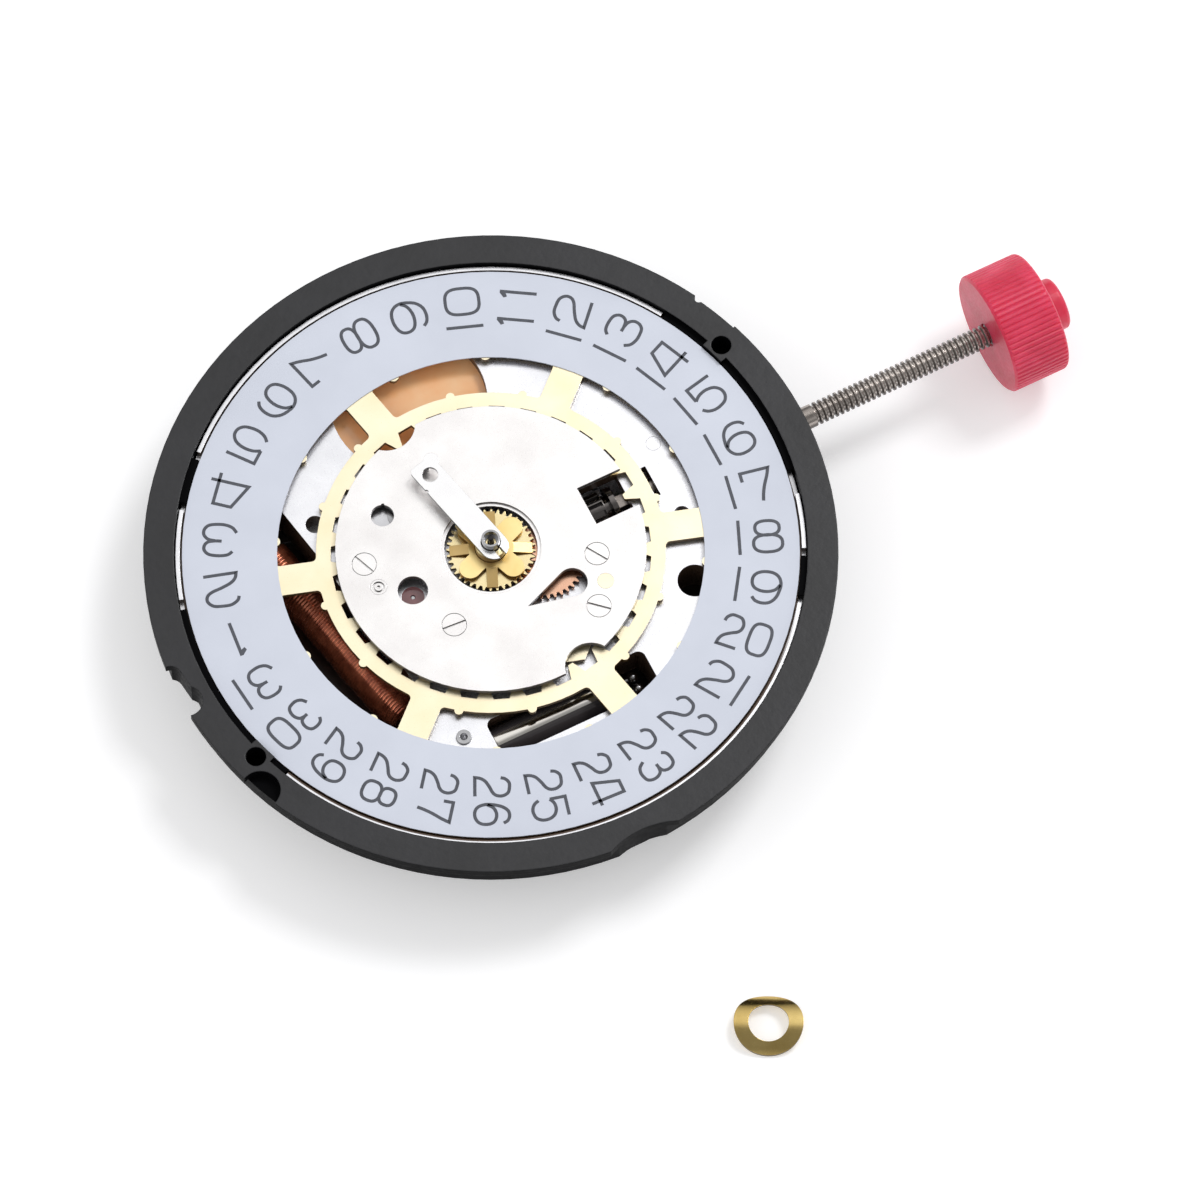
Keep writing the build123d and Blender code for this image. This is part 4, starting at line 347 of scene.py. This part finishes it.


# The wall colours below are painted shade on upright faces. The can's and the star's steep ranges reach
# nearly level faces, so there they also paint shade on slopes, narrowing the can's bright strip and dimming
# the star's bent arms.
mats = {
    "cover": metal("cover_steel", linear(232, 229, 228), linear(247, 245, 244), rough=(0.25, 0.34),
                   grain=0.05, depth=0.0008, edge=0.015, wall_shade=linear(84, 80, 78)),
    "clip": metal("clip_steel", linear(248, 247, 248), linear(254, 254, 254), rough=(0.16, 0.26),
                  grain=0.08, depth=0.0006, edge=0.02, wall_shade=linear(70, 68, 70)),
    "silver": metal("wheel_silver", linear(200, 200, 203), linear(226, 226, 229), rough=(0.16, 0.26),
                    grain=0.06, depth=0.0006, edge=0.02),
    "brass": metal("date_brass", linear(246, 232, 196), linear(253, 243, 214), rough=(0.26, 0.36),
                   grain=0.05, depth=0.0006, edge=0.015, wall_shade=linear(96, 74, 44)),
    "wheel": metal("wheel_brass", linear(240, 218, 160), linear(252, 236, 190), rough=(0.16, 0.26),
                   grain=0.05, depth=0.0005, edge=0.015, wall_shade=linear(112, 84, 44)),
    "star": metal("star_brass", linear(228, 196, 124), linear(250, 226, 164), rough=(0.28, 0.38),
                  grain=0.06, depth=0.0005, edge=0.015, wall_shade=linear(176, 136, 72),
                  steep=(0.97, 0.99)),
    "reddish": metal("minute_copper", linear(222, 168, 138), linear(244, 200, 172), rough=(0.18, 0.28),
                     grain=0.05, depth=0.0005, edge=0.015, wall_shade=linear(96, 60, 48)),
    "steel": metal("steel", linear(158, 158, 160), linear(196, 196, 198), rough=(0.14, 0.26),
                   grain=0.08, depth=0.0008, edge=0.02),
    "dark": metal("dark_steel", linear(40, 40, 42), linear(64, 62, 62), rough=(0.22, 0.36),
                  grain=0.08, depth=0.001, edge=0.03),
    "black": metal("black_steel", linear(96, 92, 90), linear(140, 135, 132), rough=(0.08, 0.18),
                   grain=0.1, depth=0.001, edge=0.03, wall_shade=linear(26, 22, 22)),
    "magnet": metal("magnet_grey", linear(90, 90, 92), linear(118, 118, 120), rough=(0.4, 0.55),
                    grain=0.06, depth=0.001, edge=0.02),
    "can": metal("crystal_can", linear(232, 228, 220), linear(246, 243, 238), rough=(0.06, 0.14),
                 grain=0.1, depth=0.0008, edge=0.05, stretch=(0.2, 1, 1), wall_shade=linear(66, 62, 64),
                 steep=(0.93, 0.98)),
    "stem": metal("stem_steel", linear(146, 138, 132), linear(196, 188, 182), rough=(0.16, 0.3),
                  grain=0.1, depth=0.001, edge=0.02, wall_shade=linear(98, 90, 86)),
    "washer": metal("washer_brass", linear(196, 166, 96), linear(228, 202, 134), rough=(0.14, 0.24),
                    grain=0.08, depth=0.0008, edge=0.02, wall_shade=linear(84, 68, 40)),
    "jewel": plastic("jewel_ruby", linear(150, 96, 100), linear(184, 130, 132), rough=(0.05, 0.12),
                     grain=0.2, depth=0.0003, edge=0.02, Transmission_Weight=0.3, Coat_Weight=0.6),
    "board": plastic("board_brown", linear(38, 30, 26), linear(52, 42, 36), rough=(0.3, 0.45),
                     grain=0.1, depth=0.002, edge=0.02),
    "chip": plastic("chip_resin", linear(28, 28, 30), linear(40, 40, 42), rough=(0.4, 0.55),
                    grain=0.08, depth=0.003, edge=0.05),
    "film": plastic("film_orange", linear(255, 184, 124), linear(255, 204, 152), rough=(0.14, 0.26),
                    grain=0.4, depth=0.002, edge=0.02, Coat_Weight=0.5),
    "paint": plastic("date_paint", linear(207, 212, 225), linear(214, 219, 232), rough=(0.42, 0.55),
                     grain=0.05, depth=0.0008, edge=0.02, patch=3.0, detail=3),
    "ring": ring_material(),
    "plate": plate_material(),
    "ink": ink_material(),
    "crown": crown_material(),
    "copper": copper_material(),
}

looks = {
    "holder_ring": "ring", "main_plate": "plate", "date_cover_plate": "cover", "cover_screws": "cover",
    "cover_rivet": "cover", "date_jumper_pin": "brass", "rotor_jewel": "jewel", "coil_winding": "copper",
    "coil_core": "dark", "coil_screws": "steel", "stator": "steel", "train_bridge": "plate",
    "bridge_jewels": "jewel", "bridge_screws": "steel", "circuit_board": "board", "timing_chip": "chip",
    "crystal_can": "can", "crystal_leads": "steel", "battery_cell": "steel", "contact_leaf": "star",
    "cell_film": "film", "cell_strap": "steel", "strap_screws": "steel", "back_screen": "cover",
    "screen_screws": "steel", "plate_pin": "steel", "dial_studs": "steel", "setting_lever_pin": "plate",
    "yoke_guide_pins": "steel", "detent_spring": "steel", "date_ring": "brass",
    "date_print_band": "paint", "date_jumper": "brass", "date_corrector": "wheel",
    "seconds_wheel": "dark", "rotor_pinion": "steel", "rotor_magnet": "magnet", "step_wheel": "wheel",
    "third_wheel": "wheel", "centre_wheel": "wheel", "hour_wheel": "wheel", "star_spring": "star",
    "minute_wheel": "reddish", "cannon_pinion": "steel", "setting_wheel": "wheel",
    "date_step_wheel": "silver", "date_driving_wheel": "silver", "date_finger": "steel", "yoke": "steel",
    "sliding_pinion": "black", "stem": "stem", "crown": "crown", "setting_lever": "steel",
    "hour_wheel_clip": "clip", "dial_washer": "washer",
}


def dress_nodes():
    for name, look in looks.items():
        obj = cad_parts[name]
        if not obj.material_slots:
            obj.data.materials.append(mats[look])
        for material_slot in obj.material_slots:
            material_slot.material = mats[look]


dress_nodes()


def piece(name, verts, faces, look, body, smooth=False):
    """A new mesh, in mm, that moves with a body."""
    mesh = bpy.data.meshes.new(name)
    mesh.from_pydata([[c * MM for c in v] for v in verts], [], faces)
    mesh.validate()
    mesh.update()
    if smooth:
        for polygon in mesh.polygons:
            polygon.use_smooth = True
    obj = bpy.data.objects.new(name, mesh)
    mesh.materials.append(mats[look])
    bpy.context.scene.collection.objects.link(obj)
    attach(obj, body)
    return obj


# Date numbers, in mm

DAYS = 31
FRONT_DAY = 16
GLYPH_H = 1.28
GLYPH_SHIFT = -0.025
STROKE = 0.122
BAND_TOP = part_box("date_print_band")[1].z / MM
INK_T = 0.006
# Strokes that cross have tops at levels of their own
LAYER_STEP = 0.0004
LAYERS = 5
# Points nearer than this are one, and lines whose ends are nearer than this are closed
SAME_POINT = 1e-4
SAME_END = 1e-3
# A stroke's corner reaches out no further than this least square of its mean normal allows
MITRE_LEAST = 0.18
CURVE_STEPS = 6

# The corners of a one's flag, from the head of its line
FLAG_PLACES = [(STROKE / 2, 0), (-0.06, 0), (-0.25, -0.17), (-0.2, -0.29), (-0.05, -0.22)]

# Lowest and highest radius of each glyph. A bar is a one without its flag.
SINGLE_SPAN = (9.48, 10.84)
TEEN_BAR = (9.3, 9.3)
TEEN_SPAN = (9.77, 10.98)
TENS_SPAN = (9.1, 9.97)
UNITS_SPAN = (10.18, 11.1)
OWN_LAYOUTS = {
    1: [("1", 10.16, 10.16)],
    4: [("4", 9.39, 10.96)],
    11: [("1", 9.59, 9.59), ("1", 10.73, 10.73)],
    14: [("|", *TEEN_BAR), ("4", 9.69, 11.06)],
    21: [("2", 9.27, 10.43), ("|", 10.87, 10.87)],
    24: [("2", 9.08, 9.94), ("4", 10.06, 11.14)],
    31: [("3", 9.36, 10.45), ("|", 10.91, 10.91)],
}


def through(points):
    """A smooth line through the points."""
    ends = [points[0]] + list(points) + [points[-1]]
    line = []
    for n in range(1, len(ends) - 2):
        p0, p1, p2, p3 = ends[n - 1:n + 3]
        for k in range(CURVE_STEPS):
            t = k / CURVE_STEPS
            line.append(tuple(
                0.5 * (2 * p1[a] + (p2[a] - p0[a]) * t + (2 * p0[a] - 5 * p1[a] + 4 * p2[a] - p3[a]) * t * t
                       + (3 * p1[a] - p0[a] - 3 * p2[a] + p3[a]) * t ** 3)
                for a in (0, 1)
            ))
    return line + [points[-1]]


def oval(cx, cy, rx, ry, power, count=48):
    """A closed, slightly squared oval."""
    line = []
    for n in range(count + 1):
        a = 2 * math.pi * n / count
        c, s = math.cos(a), math.sin(a)
        line.append((
            cx + rx * math.copysign(abs(c) ** (2 / power), c),
            cy + ry * math.copysign(abs(s) ** (2 / power), s),
        ))
    return line


# Each glyph's lines, in shares of its width and height
SIX = through([
    (0.93, 0.83), (0.80, 0.95), (0.56, 1.0), (0.30, 0.95), (0.10, 0.76), (0.0, 0.45), (0.02, 0.24),
    (0.14, 0.08), (0.34, 0.0), (0.62, 0.0), (0.86, 0.08), (0.98, 0.22), (0.98, 0.41), (0.87, 0.55),
    (0.64, 0.62), (0.38, 0.61), (0.15, 0.52), (0.02, 0.36),
])
GLYPHS = {
    "0": [oval(0.5, 0.5, 0.5, 0.5, 3.1, 64)],
    "2": [through([
        (0.02, 0.75), (0.08, 0.88), (0.28, 0.99), (0.55, 1.0), (0.82, 0.96), (0.98, 0.81), (0.97, 0.64),
        (0.82, 0.52), (0.5, 0.42), (0.2, 0.3), (0.05, 0.16), (0.0, 0.0),
    ]) + [(1.0, 0.0)]],
    "3": [
        through([(0.1, 0.85), (0.24, 0.96), (0.5, 1.0), (0.8, 0.97), (0.95, 0.84), (0.95, 0.68),
                 (0.84, 0.57), (0.62, 0.53)]) + [(0.44, 0.53)],
        through([(0.62, 0.53), (0.86, 0.48), (0.99, 0.34), (0.98, 0.17), (0.85, 0.04), (0.6, 0.0),
                 (0.36, 0.01), (0.14, 0.09), (0.0, 0.25)]),
    ],
    "4": [[(0.79, 0.0), (0.79, 1.0), (0.31, 1.0), (0.0, 0.25), (1.0, 0.25)]],
    "5": [[(0.97, 1.0), (0.03, 1.0), (0.03, 0.55)],
          through([(0.03, 0.55), (0.26, 0.65), (0.56, 0.67), (0.84, 0.59), (0.99, 0.42), (0.99, 0.22),
                   (0.84, 0.06), (0.58, 0.0), (0.34, 0.01), (0.13, 0.09), (0.0, 0.22)])],
    "6": [SIX],
    "7": [[(0.0, 0.72), (0.0, 1.0)]
          + through([(1.0, 1.0), (0.9, 0.78), (0.72, 0.48), (0.6, 0.22), (0.53, 0.0)])],
    "8": [oval(0.5, 0.77, 0.42, 0.23, 2.5), oval(0.5, 0.275, 0.5, 0.275, 2.5)],
    "9": [[(1 - x, 1 - y) for x, y in SIX]],
}


def number_layout(n):
    """The glyphs of a number with the lowest and highest radius of each."""
    if n in OWN_LAYOUTS:
        return OWN_LAYOUTS[n]
    tens, units = divmod(n, 10)
    if tens == 0:
        return [(str(units), *SINGLE_SPAN)]
    if tens == 1:
        return [("|", *TEEN_BAR), (str(units), *TEEN_SPAN)]
    return [(str(tens), *TENS_SPAN), (str(units), *UNITS_SPAN)]


def glyph_lines(glyph, low, high, foot):
    """The lines of a glyph between two radii, over a foot line."""
    half = STROKE / 2
    if glyph in "1|":
        return [[(low, foot - half), (low, foot + GLYPH_H + half)]]
    inner = low + half
    width = high - low - STROKE
    return [[(inner + x * width, foot + y * GLYPH_H) for x, y in line] for line in GLYPHS[glyph]]


def without_repeats(line):
    """The line's points with no two alike in a row, and whether it closes on itself."""
    points = [line[0]]
    for point in line[1:]:
        if math.dist(point, points[-1]) > SAME_POINT:
            points.append(point)
    closed = math.dist(points[0], points[-1]) < SAME_END
    if closed:
        points.pop()
    return points, closed


def stroke_sides(points, closed):
    """The points half a stroke to the left and to the right of a line."""
    size = len(points)
    half = STROKE / 2
    left, right = [], []
    for k, (x, y) in enumerate(points):
        before = points[k - 1] if (k or closed) else None
        after = points[(k + 1) % size] if (k < size - 1 or closed) else None
        normals = []
        for a, b in ((before, points[k]), (points[k], after)):
            if a and b:
                length = math.dist(a, b)
                normals.append((-(b[1] - a[1]) / length, (b[0] - a[0]) / length))
        nx = sum(n[0] for n in normals) / len(normals)
        ny = sum(n[1] for n in normals) / len(normals)
        scale = 1 / max(nx * nx + ny * ny, MITRE_LEAST)
        left.append((x + nx * scale * half, y + ny * scale * half))
        right.append((x - nx * scale * half, y - ny * scale * half))
    return left, right


class Ink:
    """Gathers raised shapes, each turned about the axis to its number's place."""

    def __init__(self):
        self.verts = []
        self.faces = []
        self.shapes = 0
        self.angle = 0

    def add_rows(self, *rows):
        """The rows of points at the foot and again at the top, and the number of the first."""
        base = len(self.verts)
        c, s = math.cos(self.angle), math.sin(self.angle)
        self.shapes += 1
        for z in (BAND_TOP - INK_T, BAND_TOP + INK_T + LAYER_STEP * (self.shapes % LAYERS)):
            for row in rows:
                for x, y in row:
                    self.verts.append((x * c - y * s, x * s + y * c, z))
        return base

    def add_shape(self, outline):
        """A flat shape within an outline."""
        base = self.add_rows(outline)
        size = len(outline)
        self.faces.append([base + size + k for k in range(size)])
        for k in range(size):
            j = (k + 1) % size
            self.faces.append([base + k, base + j, base + size + j, base + size + k])

    def add_stroke(self, line):
        """A strip of even width along a line."""
        points, closed = without_repeats(line)
        size = len(points)
        base = self.add_rows(*stroke_sides(points, closed))
        low_l, low_r, top_l, top_r = base, base + size, base + 2 * size, base + 3 * size
        for k in range(size if closed else size - 1):
            j = (k + 1) % size
            self.faces.append([top_r + k, top_r + j, top_l + j, top_l + k])
            self.faces.append([low_l + k, top_l + k, top_l + j, low_l + j])
            self.faces.append([low_r + j, top_r + j, top_r + k, low_r + k])
        if not closed:
            for k in (0, size - 1):
                self.faces.append([low_l + k, low_r + k, top_r + k, top_l + k])


def make_numbers():
    """The numbers of the month's days, each at its place on the band."""
    ink = Ink()
    foot = GLYPH_SHIFT - GLYPH_H / 2
    head = foot + GLYPH_H + STROKE / 2
    for n in range(1, DAYS + 1):
        ink.angle = (FRONT_DAY - n) * 2 * math.pi / DAYS
        for glyph, low, high in number_layout(n):
            if glyph == "1":
                flag = [(low + x, head + y) for x, y in FLAG_PLACES]
                ink.add_shape(flag[::-1])
            for line in glyph_lines(glyph, low, high, foot):
                ink.add_stroke(line)
    piece("date_numbers", ink.verts, ink.faces, "ink", "date_ring")


make_numbers()

# Coil with its turns, in mm

COIL_UPPER = Vector((-7.3, 4.4, 1.85))
COIL_LOWER = Vector((-5.45, -3.9, 1.85))
COIL_R = 0.9
TURN_PITCH = 0.13
ROWS_PER_TURN = 8
AROUND = 40
RIDGE_DEPTH = 0.05
WIRE_DROP = 0.055
SHOULDER_DEPTH = 0.16
SHOULDER_LENGTH = 0.25
# Slow swells along the coil, each with its height, its rate and its start
SWELLS = ((0.024, 9.2, 1), (0.0144, 31, 0))
# How far the wire leans over round the coil, as a share of a turn, and how fast the lean wanders
LEAN_SHARE = 0.45
LEAN_RATE = 7


def coil_radius(s, around, run):
    """The radius at a share of the length and a share of the way round."""
    swell = sum(height * math.sin(rate * s + start) for height, rate, start in SWELLS)
    lean = LEAN_SHARE * math.sin(2 * math.pi * around + LEAN_RATE * s)
    end = min(s, 1 - s) * run
    shoulder = SHOULDER_DEPTH * max(0.0, 1 - end / SHOULDER_LENGTH) ** 2
    phase = (s * run / TURN_PITCH - around + lean) % 1
    ridge = math.sqrt(max(0.0, 1 - (2 * phase - 1) ** 2))
    return min(COIL_R - WIRE_DROP + swell - shoulder - RIDGE_DEPTH * (1 - ridge), COIL_R)


def make_coil():
    """The winding's turns as ridges, in the place of the plain winding."""
    run = (COIL_LOWER - COIL_UPPER).length
    along = (COIL_LOWER - COIL_UPPER).normalized()
    side = Vector((0, 0, 1)).cross(along).normalized()
    up = along.cross(side)
    rows = int(run / TURN_PITCH) * ROWS_PER_TURN
    verts, faces = [], []
    for row in range(rows + 1):
        s = row / rows
        for n in range(AROUND):
            a = 2 * math.pi * n / AROUND
            radius = coil_radius(s, n / AROUND, run)
            spoke = side * (radius * math.cos(a)) + up * (radius * math.sin(a))
            verts.append(tuple(COIL_UPPER + along * (run * s) + spoke))
    for row in range(rows):
        low, high = row * AROUND, (row + 1) * AROUND
        for n in range(AROUND):
            j = (n + 1) % AROUND
            faces.append([low + n, low + j, high + j, high + n])
    faces.append(list(range(AROUND))[::-1])
    faces.append([rows * AROUND + n for n in range(AROUND)])
    coil = piece("coil_turns", verts, faces, "copper", "plate", smooth=True)
    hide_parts("coil_winding")


make_coil()

# Floor, light and world, in metres

FLOOR_SIZE = 3.0
FLOOR_LEVEL = -0.00002
FLOOR_COLOUR = (0.86, 0.86, 0.87, 1)
FLOOR_GLOW = 0.3
WHITE = (1, 1, 1, 1)
FILL_LEVEL = 0.66
# Rises of a mirrored ray, and the levels it sees there
ROOM_EDGES = (0.25, 0.8)
ROOM_LEVELS = (0.3, 0.98)
# Nearness of a mirrored ray to the camera's side, and the levels it sees there
SHADE_EDGES = (0.74, 0.92)
SHADE_LEVELS = (1, 0.3)
# Places of the lamps: towards the camera, to its right, and up
KEY_PLACE = (-0.17, 0.17, 0.36)
KEY_SIZE = 0.13
KEY_POWER = 0.62
FILL_PLACE = (0.12, -0.3, 0.3)
FILL_SIZE = 0.3
FILL_POWER = 0.22


def make_floor():
    """A pale floor that looks white and keeps the shadow."""
    mesh = bpy.data.meshes.new("floor")
    half = FLOOR_SIZE / 2
    corners = [(-half, -half), (half, -half), (half, half), (-half, half)]
    mesh.from_pydata([(x, y, FLOOR_LEVEL) for x, y in corners], [], [(0, 1, 2, 3)])
    obj = bpy.data.objects.new("floor", mesh)
    bpy.context.scene.collection.objects.link(obj)
    mat = bpy.data.materials.new("floor_white")
    mat.use_nodes = True
    tree = mat.node_tree
    tree.nodes.clear()
    out = tree.nodes.new("ShaderNodeOutputMaterial")
    diffuse = tree.nodes.new("ShaderNodeBsdfDiffuse")
    diffuse.inputs["Color"].default_value = FLOOR_COLOUR
    glow = tree.nodes.new("ShaderNodeEmission")
    glow.inputs["Color"].default_value = WHITE
    path = tree.nodes.new("ShaderNodeLightPath")
    seen = math_node(tree, "MAXIMUM", path.outputs["Is Camera Ray"], path.outputs["Is Glossy Ray"])
    seen = math_node(tree, "MAXIMUM", seen, path.outputs["Is Transmission Ray"])
    tree.links.new(math_node(tree, "MULTIPLY", seen, FLOOR_GLOW), glow.inputs["Strength"])
    add = tree.nodes.new("ShaderNodeAddShader")
    tree.links.new(diffuse.outputs[0], add.inputs[0])
    tree.links.new(glow.outputs[0], add.inputs[1])
    tree.links.new(add.outputs[0], out.inputs["Surface"])
    mesh.materials.append(mat)


def smooth_range(tree, value, edges, levels):
    """Goes smoothly from the first level to the second between two edges."""
    node = tree.nodes.new("ShaderNodeMapRange")
    node.interpolation_type = "SMOOTHSTEP"
    node.inputs["From Min"].default_value, node.inputs["From Max"].default_value = edges
    node.inputs["To Min"].default_value, node.inputs["To Max"].default_value = levels
    tree.links.new(value, node.inputs["Value"])
    return node.outputs["Result"]


def make_world():
    """White to the eye, a graded room to mirrored rays and an even fill to the rest."""
    world = bpy.data.worlds.new("studio")
    bpy.context.scene.world = world
    world.use_nodes = True
    tree = world.node_tree
    tree.nodes.clear()
    out = tree.nodes.new("ShaderNodeOutputWorld")
    back = tree.nodes.new("ShaderNodeBackground")
    back.inputs["Color"].default_value = WHITE
    path = tree.nodes.new("ShaderNodeLightPath")
    # A bright ceiling over a darker horizon, so that edges and rims stand out
    coords = tree.nodes.new("ShaderNodeTexCoord")
    split = tree.nodes.new("ShaderNodeSeparateXYZ")
    tree.links.new(coords.outputs["Generated"], split.inputs[0])
    rise = smooth_range(tree, split.outputs["Z"], ROOM_EDGES, ROOM_LEVELS)
    # A dark stand where the photographer would be
    facing = tree.nodes.new("ShaderNodeVectorMath")
    facing.operation = "DOT_PRODUCT"
    facing.inputs[1].default_value = tuple(view_axes[2])
    tree.links.new(coords.outputs["Generated"], facing.inputs[0])
    shade = smooth_range(tree, facing.outputs["Value"], SHADE_EDGES, SHADE_LEVELS)
    graded = math_node(tree, "MULTIPLY", rise, shade)
    glossy = math_node(tree, "MULTIPLY", graded, path.outputs["Is Glossy Ray"])
    plain = math_node(tree, "MAXIMUM", path.outputs["Is Camera Ray"], path.outputs["Is Transmission Ray"])
    seen = math_node(tree, "MAXIMUM", glossy, plain)
    direct = math_node(tree, "MAXIMUM", plain, path.outputs["Is Glossy Ray"])
    fill = math_node(tree, "MULTIPLY", math_node(tree, "SUBTRACT", 1, direct), FILL_LEVEL)
    tree.links.new(math_node(tree, "ADD", seen, fill), back.inputs["Strength"])
    tree.links.new(back.outputs[0], out.inputs["Surface"])


def stand(toward, right, up):
    """A place beside the object, as the camera sees it."""
    right_axis, _, back_axis = view_axes
    level_back = Vector((back_axis.x, back_axis.y, 0)).normalized()
    level_right = Vector((right_axis.x, right_axis.y, 0)).normalized()
    return level_back * toward + level_right * right + Vector((0, 0, up))


def lamp(name, place, size, power):
    """A square lamp that shines on the object."""
    data = bpy.data.lights.new(name, "AREA")
    data.shape = "SQUARE"
    data.size = size
    data.energy = power
    obj = bpy.data.objects.new(name, data)
    bpy.context.scene.collection.objects.link(obj)
    obj.rotation_mode = "QUATERNION"
    obj.rotation_quaternion = (-place).to_track_quat("-Z", "Y")
    obj.location = place


make_floor()
make_world()
# A key lamp up behind the object and to its right, and a softer fill on the left
lamp("key", stand(*KEY_PLACE), KEY_SIZE, KEY_POWER)
lamp("fill", stand(*FILL_PLACE), FILL_SIZE, FILL_POWER)

bpy.context.scene.view_settings.view_transform = "Standard"
